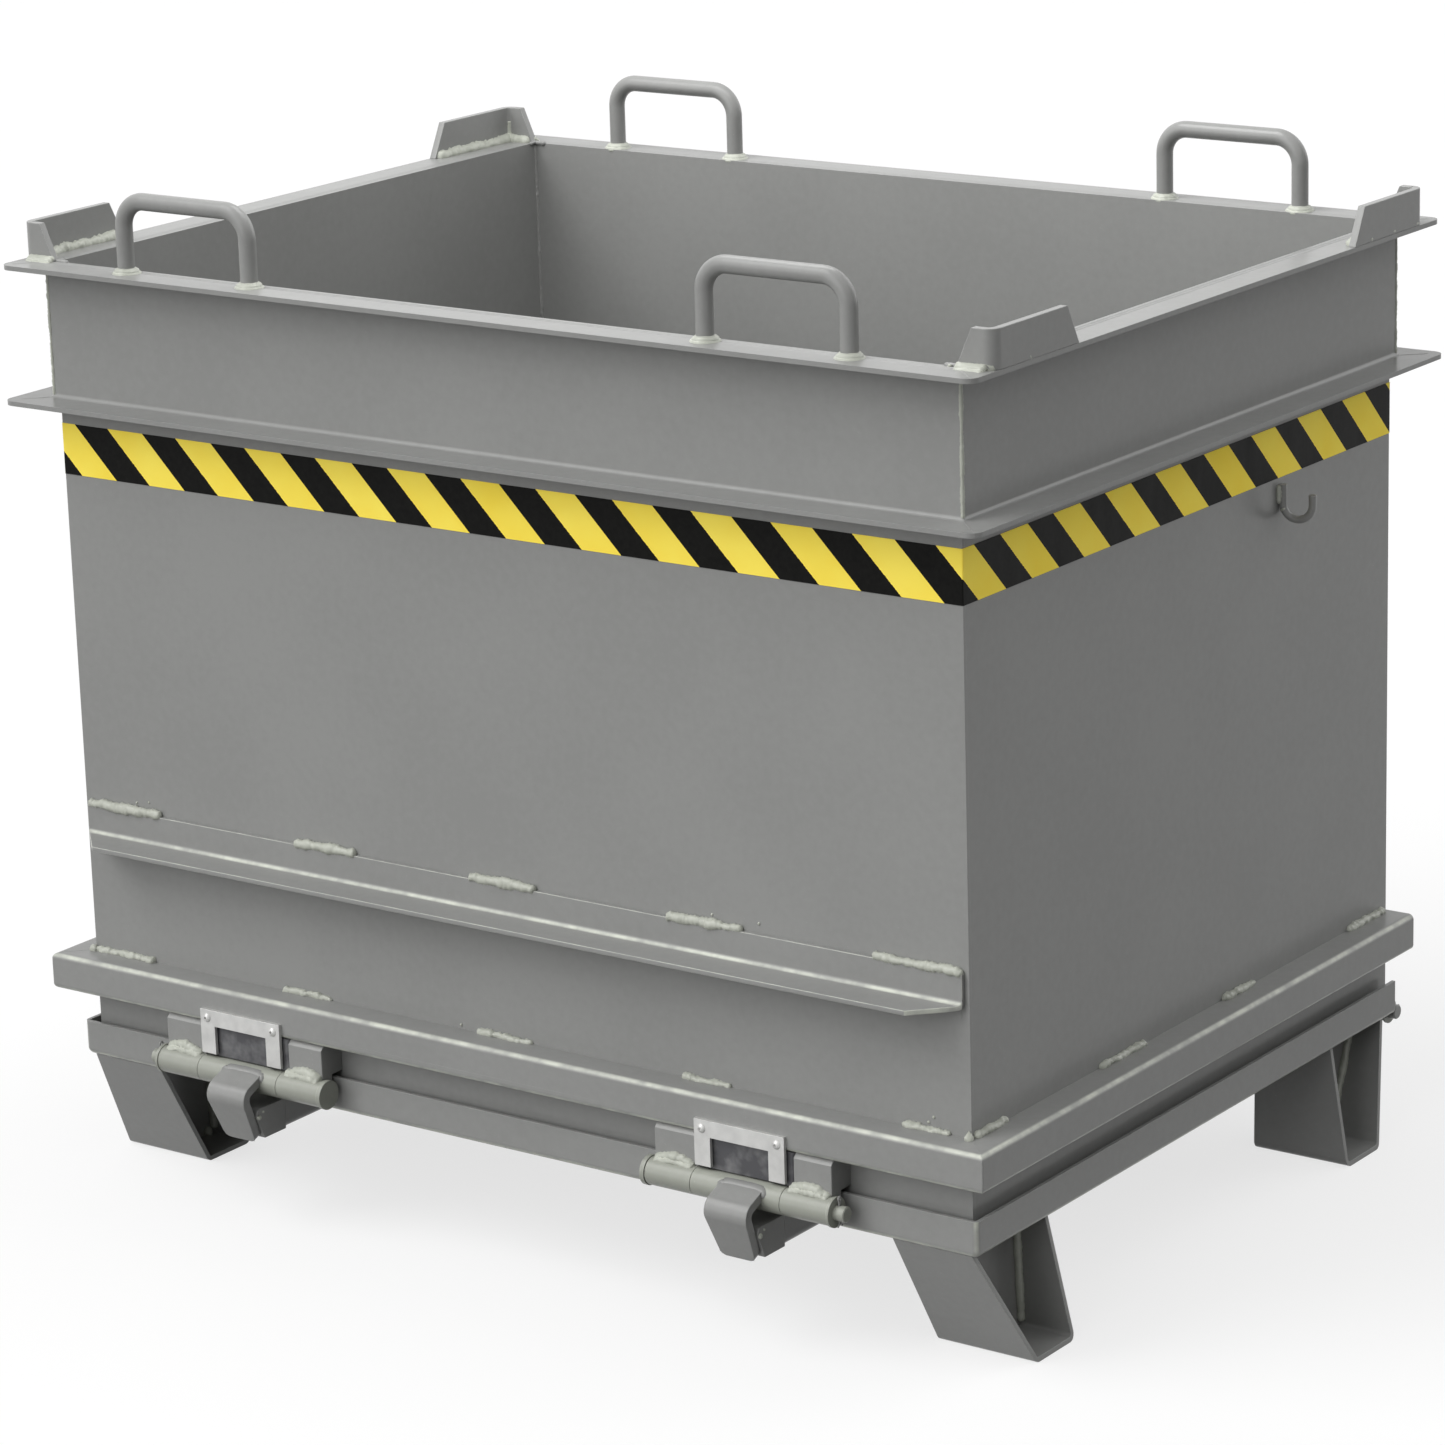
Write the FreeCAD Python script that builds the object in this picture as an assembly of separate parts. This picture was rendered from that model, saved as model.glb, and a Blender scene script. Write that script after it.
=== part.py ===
import FreeCAD, Part
import math
import os

from FreeCAD import Vector

# Hinged bottom hopper. X runs along the front, Y to the rear, Z up. Sizes in millimetres.

# Sheet box
box_length = 1122.0
box_width = 822.0
rim_height = 1000.0
wall_sheet = 4.0
wall_to_floor_gap = 2.0

# Folded collar round the rim
collar_sheet = 5.0
collar_height = 148.0
rim_reach = 39.0
guide_reach = 43.0
collar_bend_radius = 4.5
collar_corner_radius = 13.0

# Base channel round the foot of the walls
channel_above_floor = 77.0
channel_height = 40.0
channel_reach = 34.0
channel_sheet = 4.0
channel_bend_radius = 2.0

# Angle rail across the front
rail_above_channel = 130.0
rail_leg = 36.0
rail_reach = 45.0
rail_sheet = 5.0
rail_bend_radius = 5.0
rail_end_inset = 5.0

# Stacking angles on the rim
stack_sheet = 8.0
stack_height = 39.0
stack_long_leg = 147.0
stack_short_leg = 42.0
stack_long_slant = 20.0
stack_short_slant = 17.0
stack_bend_radius = 5.0
stack_corner_inset = 38.0

# Lifting bows on the rim
bow_bar = 18.0
bow_span = 165.0
bow_rise = 85.0
bow_bend_radius = 28.0
bow_end_inset = 196.0
bow_inset = 28.0

# Hook for the chain on the right wall
chain_hook_rod = 8.0
chain_hook_span = 31.5
chain_hook_below_tape = 46.5
chain_hook_back_leg = 20.0
chain_hook_tip_leg = 11.0
chain_hook_rear_inset = 231.0
chain_hook_turn = 10.0

# Warning tape
tape_below_collar = 23.0
tape_height = 54.5
tape_thickness = 0.6

# Tray that closes the bottom
floor_height = 131.0
tray_sheet = 4.0
tray_lip_height = 38.0
tray_side_gap = 8.7
tray_bend_radius = 3.0
tray_corner_radius = 2.0
tray_rear_gap = 0.8

# Feet under the tray, placed from the faces of the walls
foot_sheet = 5.0
foot_bend_radius = 4.0
foot_rest_near_inset = 136.0
foot_rest_far_inset = 65.0
foot_top_near_inset = 128.0
foot_front_overhang = 8.0
foot_rear_inset = 11.0
foot_inner_inset_top = 88.0
foot_inner_inset_bottom = 85.0
foot_outer_overhang_top = 3.0
foot_outer_overhang_bottom = 29.0
foot_rib_sheet = 5.0
foot_rib_inset = 31.0

# Latches: barrels on a pin below the front channel
latch_end_inset = 240.0
barrel_offset = 7.5
barrel_radius = 14.5
pin_radius = 8.0
pin_clearance = 0.05
middle_barrel_length = 107.0
outer_barrel_length = 55.0
barrel_gap = 0.6
pin_axis_reach = 34.0
pin_below_channel = 51.0
pin_head_radius = 15.5
pin_head_thickness = 5.0
pin_end_length = 9.0
washer_thickness = 3.0
cotter_radius = 1.8
cotter_length = 27.0

# Mounting blocks between the outer barrels and the channel
block_depth_inset = 1.0
block_end_inset = 3.0
block_shoulder_gap = 4.0
block_skirt_drop = 5.5
block_front_bevel = 5.0
lip_clearance = 4.3

# Claws on the middle barrels
claw_bar = 10.0
claw_width = 51.0
claw_tip_width = 41.0
claw_bend_radius = 6.0
claw_root_reach = 8.0
claw_root_rise = 12.0
claw_knee_reach = 47.0
claw_knee_drop = 3.6
claw_tip_reach = 20.0
claw_tip_drop = 63.0
claw_corner_radius = 8.0

# Rubber buffers and the plates that hold them
buffer_width = 108.0
buffer_gap = 0.5
buffer_front_inset = 2.0
buffer_depth = 31.0
buffer_edge_radius = 4.0
plate_width = 108.0
plate_height = 48.5
plate_thickness = 4.0
plate_leg = 19.0
plate_bar = 17.5
plate_drop = 32.5
screw_side_inset = 9.0
screw_top_inset = 9.0
screw_head_radius = 5.0
screw_head_height = 3.0
screw_shank_radius = 2.5
screw_length = 12.0
socket_radius = 1.6
socket_depth = 1.8

# Runners under the tray and the keepers in their noses
runner_width = 50.0
runner_height = 34.0
runner_sheet = 5.0
runner_bend_radius = 3.0
runner_front_inset = 3.0
runner_rear_inset = 30.0
keeper_gap = 0.6
keeper_top_radius = 7.0

# Rear hinge
hinge_behind_wall = 16.0
hinge_below_floor = 3.5
hinge_rod_radius = 8.0
hinge_rod_clearance = 0.05
knuckle_radius = 12.0
knuckle_length = 60.0
knuckle_gap = 0.6
knuckle_foot_gap = 8.0
hinge_end_inset = 5.0
hinge_leaf_sheet = 6.0
body_leaf_rise = 62.0
flap_leaf_depth = 55.0
hinge_washer_radius = 14.0
hinge_washer_thickness = 2.5
hinge_cotter_length = 28.0
hinge_rod_end_length = 8.0

# How far cuts run on past a face, and how near an edge lies to be the one looked for
overrun = 5.0
reach_far = 3000.0
edge_match_share = 0.01
corner_match_share = 0.1
end_chamfer_share = 0.125

# Heights, from the floor up and from the rim down
half_length = box_length / 2
half_width = box_width / 2
wall_bottom = floor_height + tray_sheet + wall_to_floor_gap
channel_underside = floor_height + channel_above_floor
rail_underside = channel_underside + channel_height + rail_above_channel
tape_underside = rim_height - collar_height - tape_below_collar - tape_height
chain_hook_bottom = tape_underside - chain_hook_below_tape
pin_axis_height = channel_underside - pin_below_channel
plate_underside = channel_underside - plate_drop
hinge_axis_height = floor_height - hinge_below_floor

# Places in plan
bow_station = half_length - bow_end_inset
latch_station = half_length - latch_end_inset
chain_hook_place = half_width - chain_hook_rear_inset
foot_inner_edge_top = half_length - foot_inner_inset_top
foot_inner_edge_bottom = half_length - foot_inner_inset_bottom
hinge_half_length = half_length - hinge_end_inset
tray_outset = tray_side_gap + tray_sheet
pin_bore = pin_radius + pin_clearance
hinge_bore = hinge_rod_radius + hinge_rod_clearance
pin_axis_y = -(half_width + pin_axis_reach)
hinge_axis_y = half_width + hinge_behind_wall
latch_half_length = middle_barrel_length / 2 + barrel_gap + outer_barrel_length
channel_face_y = -(half_width + channel_reach)
claw_front_y = pin_axis_y - claw_knee_reach
guide_rear_y = half_width + guide_reach
frame_shift_y = -(claw_front_y + guide_rear_y) / 2


def unit(a, b):
    """Direction from point a to point b."""
    return Vector(b[0] - a[0], b[1] - a[1], 0).normalize()


def to_left(direction):
    """The direction a quarter turn to the left."""
    return Vector(-direction.y, direction.x, 0)


def folded_edges(corners, thickness, inner_radius):
    """Lines and arcs along both faces of a sheet that is folded along the corners.

    The corners lie on one face, and the sheet lies to the left of the path.
    """
    near, far = [], []
    start = Vector(corners[0][0], corners[0][1], 0)
    first = unit(corners[0], corners[1])
    start_far = start + to_left(first) * thickness
    for before, here, after in zip(corners, corners[1:], corners[2:]):
        come, go = unit(before, here), unit(here, after)
        corner = Vector(here[0], here[1], 0)
        side = 1 if come.x * go.y - come.y * go.x > 0 else -1
        near_radius = inner_radius + (thickness if side > 0 else 0)
        far_radius = near_radius - side * thickness
        setback = near_radius * math.tan(come.getAngle(go) / 2)
        bend_start, bend_end = corner - come * setback, corner + go * setback
        centre = bend_start + to_left(come) * (side * near_radius)
        outward = (corner - centre).normalize()
        near.append((start, bend_start))
        near.append((bend_start, centre + outward * near_radius, bend_end))
        far_start = bend_start + to_left(come) * thickness
        far_end = bend_end + to_left(go) * thickness
        far.append((start_far, far_start))
        far.append((far_start, centre + outward * far_radius, far_end))
        start, start_far = bend_end, far_end
    end = Vector(corners[-1][0], corners[-1][1], 0)
    end_far = end + to_left(unit(corners[-2], corners[-1])) * thickness
    near.append((start, end))
    far.append((start_far, end_far))
    back = [tuple(reversed(points)) for points in reversed(far)]
    closing = (back[-1][-1], near[0][0])
    return near + [(end, end_far)] + back + [closing]


def face_of(edges, plane):
    """Face bounded by lines (two points) and arcs (three points) laid on a plane."""
    made = []
    for points in edges:
        placed = [plane(point.x, point.y) for point in points]
        if len(placed) == 2:
            made.append(Part.LineSegment(*placed).toShape())
        else:
            made.append(Part.Arc(*placed).toShape())
    return Part.Face(Part.Wire(made))


def polygon(points, plane):
    """Flat face through the points laid on a plane."""
    placed = [plane(u, v) for u, v in points]
    return Part.Face(Part.makePolygon(placed + placed[:1]))


def upright_x(x):
    """Plane across X, drawn with Y and Z."""
    return lambda u, v: Vector(x, u, v)


def upright_y(y):
    """Plane across Y, drawn with X and Z."""
    return lambda u, v: Vector(u, y, v)


def level(z):
    """Level plane, drawn with X and Y."""
    return lambda u, v: Vector(u, v, z)


def mirror_x(shape):
    """The same piece on the other side of the middle, left for right."""
    return shape.mirror(Vector(0, 0, 0), Vector(1, 0, 0))


def mirror_y(shape):
    """The same piece on the other side of the middle, front for rear."""
    return shape.mirror(Vector(0, 0, 0), Vector(0, 1, 0))


def rod(start, end, radius):
    """Round bar from start to end."""
    along = end - start
    return Part.makeCylinder(radius, along.Length, start, along)


def block(low, high):
    """Box between two opposite corners."""
    size = high - low
    return Part.makeBox(size.x, size.y, size.z, low)


def front_mitre(inner, outer):
    """Plan of a front length whose two ends are mitred to the side lengths."""
    slope = half_length - half_width
    corners = [(-(outer + slope), -outer), (outer + slope, -outer),
               (inner + slope, -inner), (-(inner + slope), -inner)]
    return polygon(corners, level(0)).extrude(Vector(0, 0, reach_far))


def side_mitre(inner, outer):
    """Plan of a right side length whose two ends are mitred."""
    slope = half_length - half_width
    corners = [(outer, -(outer - slope)), (outer, outer - slope),
               (inner, inner - slope), (inner, -(inner - slope))]
    return polygon(corners, level(0)).extrude(Vector(0, 0, reach_far))


def make_walls():
    """Four plain sheets: front and rear run full length, the sides stand between them."""
    front = block(Vector(-half_length, -half_width, wall_bottom),
                  Vector(half_length, wall_sheet - half_width, rim_height))
    right = block(Vector(half_length - wall_sheet, wall_sheet - half_width, wall_bottom),
                  Vector(half_length, half_width - wall_sheet, rim_height))
    return {"front_wall": front, "rear_wall": mirror_y(front),
            "right_wall": right, "left_wall": mirror_x(right)}


def collar_section():
    """Channel with both flanges outward, drawn outward from the wall face."""
    low = rim_height - collar_height
    corners = [(guide_reach, low), (0, low), (0, rim_height), (rim_reach, rim_height)]
    outward_first = list(reversed(corners))
    return folded_edges(outward_first, collar_sheet, collar_bend_radius)


def round_outer_corners(shape, reach, height_low, height_high):
    """Rounds the sharp plan corners of a mitred flange."""
    corner_x, corner_y = half_length + reach, half_width + reach
    radius = collar_corner_radius
    tool = Part.makeBox(radius, radius, height_high - height_low,
                        Vector(corner_x - radius, corner_y - radius, height_low))
    keep = Part.makeCylinder(radius, height_high - height_low,
                             Vector(corner_x - radius, corner_y - radius, height_low))
    cutter = tool.cut(keep)
    for cut in (cutter, mirror_x(cutter), mirror_y(cutter), mirror_x(mirror_y(cutter))):
        shape = shape.cut(cut)
    return shape


def make_collar():
    """Four lengths of folded channel, mitred where they meet."""
    widest = max(rim_reach, guide_reach)
    far_x, far_y = half_length + widest, half_width + widest
    across_front = face_of(collar_section(), lambda u, v: Vector(-far_x, -(half_width + u), v))
    front = across_front.extrude(Vector(2 * far_x, 0, 0)).common(front_mitre(half_width, far_y))
    across_side = face_of(collar_section(), lambda u, v: Vector(half_length + u, -far_y, v))
    right = across_side.extrude(Vector(0, 2 * far_y, 0)).common(side_mitre(half_length, far_x))
    middle = rim_height - collar_height / 2
    lengths = []
    for piece in (front, right):
        piece = round_outer_corners(piece, rim_reach, middle, rim_height)
        lengths.append(round_outer_corners(piece, guide_reach, rim_height - collar_height, middle))
    front, right = lengths
    return {"collar_front": front, "collar_rear": mirror_y(front),
            "collar_right": right, "collar_left": mirror_x(right)}


def make_base_channel():
    """Channel lengths along the front and both sides, open towards the walls."""
    top = channel_underside + channel_height
    corners = [(0, channel_underside), (channel_reach, channel_underside), (channel_reach, top), (0, top)]
    section = folded_edges(corners, channel_sheet, channel_bend_radius)
    outer_x, outer_y = half_length + channel_reach, half_width + channel_reach
    across_front = face_of(section, lambda u, v: Vector(-outer_x, -(half_width + u), v))
    front = across_front.extrude(Vector(2 * outer_x, 0, 0))
    front = front.common(front_mitre(half_width, outer_y))
    across_side = face_of(section, lambda u, v: Vector(half_length + u, -outer_y, v))
    right = across_side.extrude(Vector(0, outer_y + half_width, 0))
    mitre = side_mitre(half_length, outer_x)
    beyond = block(Vector(half_length, 0, 0), Vector(outer_x, half_width, rim_height))
    right = right.common(mitre.fuse(beyond))
    return {"base_channel_front": front, "base_channel_right": right, "base_channel_left": mirror_x(right)}


def make_front_rail():
    """Angle on the front wall, its shelf mitred at both ends."""
    leg_top = rail_underside + rail_leg
    corners = [(0, leg_top), (0, rail_underside), (rail_reach, rail_underside)]
    half = half_length - rail_end_inset
    section = face_of(folded_edges(corners, rail_sheet, rail_bend_radius),
                      lambda u, v: Vector(-half, -(half_width + u), v))
    rail = section.extrude(Vector(2 * half, 0, 0))
    near, far = half_width + rail_sheet, half_width + rail_reach + overrun
    short = half - (far - near)
    outline = [(half, 0), (half, -near), (short, -far), (-short, -far), (-half, -near), (-half, 0)]
    return {"front_rail": rail.common(polygon(outline, level(0)).extrude(Vector(0, 0, rim_height)))}


def make_stacking_angle():
    """Bent plate at the front right corner of the rim, its free ends slanted."""
    outer_x, outer_y = half_length + rim_reach, half_width + rim_reach - stack_corner_inset
    corners = [(outer_x - stack_short_leg, -outer_y), (outer_x, -outer_y),
               (outer_x, stack_long_leg - outer_y)]
    section = face_of(folded_edges(corners, stack_sheet, stack_bend_radius), level(rim_height))
    angle = section.extrude(Vector(0, 0, stack_height))
    top = rim_height + stack_height
    long_end = stack_long_leg - outer_y
    long_cut = polygon([(long_end, rim_height), (long_end, top), (long_end - stack_long_slant, top)],
                       upright_x(outer_x - stack_sheet - overrun))
    short_end = outer_x - stack_short_leg
    short_cut = polygon([(short_end, rim_height), (short_end, top), (short_end + stack_short_slant, top)],
                        upright_y(-outer_y - overrun))
    angle = angle.cut(long_cut.extrude(Vector(stack_sheet + 2 * overrun, 0, 0)))
    return angle.cut(short_cut.extrude(Vector(0, stack_sheet + 2 * overrun, 0)))


def four_corners(name, front_right):
    """The piece at all four corners, named by its corner."""
    return {
        name + "_front_right": front_right,
        name + "_front_left": mirror_x(front_right),
        name + "_rear_right": mirror_y(front_right),
        name + "_rear_left": mirror_x(mirror_y(front_right)),
    }


def bent_rod(points, radius, bend_radius):
    """Round bar along straight runs joined by tangent arcs."""
    edges, start = [], points[0]
    for before, here, after in zip(points, points[1:], points[2:]):
        come, go = (here - before).normalize(), (after - here).normalize()
        half_turn = come.getAngle(go) / 2
        setback = bend_radius * math.tan(half_turn)
        first, last = here - come * setback, here + go * setback
        inward = (go - come).normalize()
        middle = here + inward * (bend_radius / math.cos(half_turn) - bend_radius)
        edges.append(Part.LineSegment(start, first).toShape())
        edges.append(Part.Arc(first, middle, last).toShape())
        start = last
    edges.append(Part.LineSegment(start, points[-1]).toShape())
    circle = Part.Circle(points[0], points[1] - points[0], radius).toShape()
    return Part.Wire(edges).makePipeShell([Part.Wire(circle)], True, False)


def make_bow():
    """Lifting bow at the front right, two legs on the rim flange."""
    y = -(half_width + rim_reach - bow_inset)
    top = rim_height + bow_rise - bow_bar / 2
    left, right = bow_station - bow_span / 2, bow_station + bow_span / 2
    points = [Vector(left, y, rim_height), Vector(left, y, top),
              Vector(right, y, top), Vector(right, y, rim_height)]
    return bent_rod(points, bow_bar / 2, bow_bend_radius)


def make_chain_hook():
    """Rod hook on the right wall: a leg on the wall, a round bottom and a free tip."""
    radius = chain_hook_rod / 2
    bend = chain_hook_span / 2
    centre_low = chain_hook_bottom + radius
    turn = math.radians(chain_hook_turn)
    out = Vector(math.cos(turn), math.sin(turn), 0) * chain_hook_span
    foot = Vector(half_length + radius, chain_hook_place, centre_low)
    tip = foot + out
    rise = Vector(0, 0, bend)
    lowest = foot + out / 2
    back_top = foot + rise + Vector(0, 0, chain_hook_back_leg)
    tip_top = tip + rise + Vector(0, 0, chain_hook_tip_leg)
    path = Part.Wire([
        Part.LineSegment(back_top, foot + rise).toShape(),
        Part.Arc(foot + rise, lowest, tip + rise).toShape(),
        Part.LineSegment(tip + rise, tip_top).toShape(),
    ])
    circle = Part.Circle(back_top, Vector(0, 0, -1), radius).toShape()
    return {"chain_hook": path.makePipeShell([Part.Wire(circle)], True, False)}


def make_tape():
    """Strip of tape on each wall, below the collar."""
    top = tape_underside + tape_height
    front = block(Vector(-half_length, -(half_width + tape_thickness), tape_underside),
                  Vector(half_length, -half_width, top))
    right = block(Vector(half_length, -half_width, tape_underside),
                  Vector(half_length + tape_thickness, half_width, top))
    return {"tape_front": front, "tape_rear": mirror_y(front),
            "tape_right": right, "tape_left": mirror_x(right)}


def make_tray():
    """Pan with a lip at the front and both sides, open at the rear over the hinge."""
    out_x, out_front = half_length + tray_outset, -(half_width + tray_outset)
    rear = half_width - tray_rear_gap
    top = floor_height + tray_lip_height
    outer = block(Vector(-out_x, out_front, floor_height), Vector(out_x, rear, top))
    outer = outer.makeFillet(tray_corner_radius + tray_sheet, upright_edges(outer, out_front))
    outer = outer.makeFillet(tray_bend_radius + tray_sheet, low_edges(outer, rear))
    inner = block(Vector(-out_x + tray_sheet, out_front + tray_sheet, floor_height + tray_sheet),
                  Vector(out_x - tray_sheet, rear + overrun, top + overrun))
    inner = inner.makeFillet(tray_corner_radius, upright_edges(inner, out_front + tray_sheet))
    inner = inner.makeFillet(tray_bend_radius, low_edges(inner, rear + overrun))
    return {"tray": outer.cut(inner)}


def upright_edges(shape, y):
    """Upright edges of a box at the plane y."""
    near = tray_sheet * edge_match_share
    found = []
    for edge in shape.Edges:
        start, end = edge.Vertexes[0].Point, edge.Vertexes[-1].Point
        upright = abs(start.x - end.x) + abs(start.y - end.y) < near
        if upright and abs(start.y - y) < near:
            found.append(edge)
    return found


def low_edges(shape, rear):
    """Edges of the underside, without the one along the rear."""
    near = tray_sheet * edge_match_share
    low = shape.BoundBox.ZMin
    found = []
    for edge in shape.Edges:
        box = edge.BoundBox
        at_rear = abs(box.YMin - rear) < near
        if box.ZMax - low < near and not at_rear:
            found.append(edge)
    return found


def foot_corners(top_far):
    """Outer corners of the trough's section: down the near leg, under and up the far leg."""
    rest_near, rest_far = half_width - foot_rest_near_inset, half_width - foot_rest_far_inset
    top_near = half_width - foot_top_near_inset
    return [(-top_near, floor_height), (-rest_near, 0), (-rest_far, 0), (-top_far, floor_height)]


def make_foot(top_far):
    """Foot at the front right: a plate folded to a trough that is open to both sides."""
    outer_bottom = half_length + foot_outer_overhang_bottom
    outer_top = half_length + foot_outer_overhang_top
    span = outer_bottom - foot_inner_edge_top + 2 * overrun
    section = folded_edges(corners_reaching(foot_corners(top_far)), foot_sheet, foot_bend_radius)
    trough = face_of(section, upright_x(foot_inner_edge_top - overrun)).extrude(Vector(span, 0, 0))
    sides = [(foot_inner_edge_bottom, 0), (outer_bottom, 0),
             (outer_top, floor_height), (foot_inner_edge_top, floor_height)]
    keep = polygon(sides, upright_y(-top_far - overrun)).extrude(Vector(0, top_far, 0))
    return trough.common(keep)


def make_foot_rib(top_far):
    """Upright rib that fills the middle of the trough from leg to leg."""
    rear_face = upright_x(half_length - foot_rib_inset - foot_rib_sheet)
    filled = polygon(foot_corners(top_far), rear_face).extrude(Vector(foot_rib_sheet, 0, 0))
    inside = filled.cut(make_foot(top_far))
    return max(inside.Solids, key=lambda solid: solid.Volume)


def corners_reaching(corners):
    """The path with both ends run on, so that a level cut trims them."""
    first, second, third, last = corners
    longer = 1 + foot_sheet / floor_height
    start = (second[0] + (first[0] - second[0]) * longer, second[1] + (first[1] - second[1]) * longer)
    end = (third[0] + (last[0] - third[0]) * longer, third[1] + (last[1] - third[1]) * longer)
    return [end, third, second, start]


def make_feet():
    """Four feet, each with its rib; the rear pair stands a little steeper to clear the hinge."""
    pieces = {}
    for end, top_far in (("front", half_width + foot_front_overhang), ("rear", half_width - foot_rear_inset)):
        for kind, shape in (("foot_", make_foot(top_far)), ("foot_rib_", make_foot_rib(top_far))):
            placed = shape if end == "front" else mirror_y(shape)
            pieces[kind + end + "_right"] = placed
            pieces[kind + end + "_left"] = mirror_x(placed)
    return pieces


def claw_plane(x):
    """Plane across the pin, drawn outward and upward from its axis."""
    return lambda u, v: Vector(x, pin_axis_y - u, pin_axis_height + v)


def make_claw(station):
    """Bent bar whose root seats on the middle barrel and whose tip leans under the keeper."""
    corners = [(claw_tip_reach, -claw_tip_drop), (claw_knee_reach, -claw_knee_drop),
               (claw_root_reach, claw_root_rise)]
    section = folded_edges(corners, claw_bar, claw_bend_radius)
    claw = face_of(section, claw_plane(station - claw_width / 2)).extrude(Vector(claw_width, 0, 0))
    claw = claw.cut(rod(Vector(station - claw_width, pin_axis_y, pin_axis_height),
                        Vector(station + claw_width, pin_axis_y, pin_axis_height), barrel_radius))
    tip = pin_axis_height - claw_tip_drop
    knee = pin_axis_height - claw_knee_drop
    half, half_tip = claw_width / 2, claw_tip_width / 2
    for side in (-1, 1):
        beyond = station + side * (half + overrun)
        outline = [(station + side * half_tip, tip - overrun), (station + side * half_tip, tip),
                   (station + side * half, knee - claw_bar), (beyond, knee), (beyond, tip - overrun)]
        taper = polygon(outline, upright_y(claw_front_y - overrun))
        claw = claw.cut(taper.extrude(Vector(0, claw_knee_reach + overrun, 0)))
    claw = max(claw.Solids, key=lambda solid: solid.Volume)
    return claw.makeFillet(claw_corner_radius, claw_tip_corners(claw, station))


def claw_tip_corners(claw, station):
    """The two edges through the bar at the corners of the tip."""
    low = pin_axis_height - claw_tip_drop
    near = claw_bar * corner_match_share
    found = []
    for edge in claw.Edges:
        box = edge.BoundBox
        at_corner = abs(abs(box.Center.x - station) - claw_tip_width / 2) < near
        if at_corner and box.XLength < near and box.ZMax < low + claw_bar:
            found.append(edge)
    return found


def barrel(start, end, y, z, outer, bore):
    """Tube along X."""
    tube = rod(Vector(start, y, z), Vector(end, y, z), outer)
    return tube.cut(rod(Vector(start - overrun, y, z), Vector(end + overrun, y, z), bore))


def outer_barrel_ends(centre):
    """Start and end of the two fixed barrels beside the middle one."""
    near = middle_barrel_length / 2 + barrel_gap
    far = near + outer_barrel_length
    return [(centre - far, centre - near), (centre + near, centre + far)]


def make_mount_block(start, end):
    """Block under the channel, saddled on its barrel and stepped clear of the tray lip."""
    front = channel_face_y + block_depth_inset
    top = channel_underside
    shoulder = floor_height + tray_lip_height + block_shoulder_gap
    skirt = pin_axis_height + barrel_radius - block_skirt_drop
    lip_face = -(half_width + tray_outset)
    skirt_back = lip_face - lip_clearance
    outline = [(front, skirt), (front, top - block_front_bevel), (front + block_front_bevel, top),
               (-half_width, top), (-half_width, shoulder), (skirt_back, shoulder), (skirt_back, skirt)]
    shape = polygon(outline, upright_x(start)).extrude(Vector(end - start, 0, 0))
    return shape.cut(rod(Vector(start - overrun, pin_axis_y, pin_axis_height),
                         Vector(end + overrun, pin_axis_y, pin_axis_height), barrel_radius))


def make_latch_pin(centre, outward):
    """Pin with a flat head at its inner end and a cotter hole at its outer end."""
    y, z = pin_axis_y, pin_axis_height
    head_face = centre - outward * (latch_half_length + barrel_gap)
    head_end = head_face - outward * pin_head_thickness
    hole = centre + outward * (latch_half_length + washer_thickness + 2 * cotter_radius)
    end = hole + outward * pin_end_length
    shape = rod(Vector(head_face, y, z), Vector(end, y, z), pin_radius)
    shape = shape.fuse(rod(Vector(head_end, y, z), Vector(head_face, y, z), pin_head_radius)).removeSplitter()
    shape = chamfer_end(shape, end, pin_radius)
    cotter = make_cotter(Vector(hole, y, z), Vector(0, 0, 1), cotter_length)
    return shape.cut(cotter), cotter


def chamfer_end(shape, x, radius):
    """Breaks the sharp edge of a round end."""
    near = radius * edge_match_share
    edges = [edge for edge in shape.Edges
             if abs(edge.BoundBox.XMin - x) + abs(edge.BoundBox.XMax - x) < near]
    return shape.makeChamfer(radius * end_chamfer_share, edges)


def make_cotter(middle, along, length):
    """Straight split pin, drawn as one round bar."""
    half = along * (length / 2)
    return rod(middle - half, middle + half, cotter_radius)


def make_washer(x, outward, y, z, outer, bore, thickness):
    """Flat ring on a pin, from x outward."""
    end = x + outward * thickness
    low, high = min(x, end), max(x, end)
    return barrel(low, high, y, z, outer, bore)


def make_buffer(station):
    """Rubber block under the channel, just above the middle barrel."""
    front = channel_face_y + buffer_front_inset
    low = pin_axis_height + barrel_radius + buffer_gap
    shape = block(Vector(station - buffer_width / 2, front, low),
                  Vector(station + buffer_width / 2, front + buffer_depth, channel_underside))
    upright = [edge for edge in shape.Edges if edge.BoundBox.ZLength > buffer_edge_radius]
    front_edges = [edge for edge in upright if abs(edge.BoundBox.YMax - front) < buffer_gap]
    return shape.makeFillet(buffer_edge_radius, front_edges)


def screw_places(centre):
    """Places of the two screws of a plate."""
    height = plate_underside + plate_height - screw_top_inset
    offset = plate_width / 2 - screw_side_inset
    return [(centre - offset, height), (centre + offset, height)]


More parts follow.
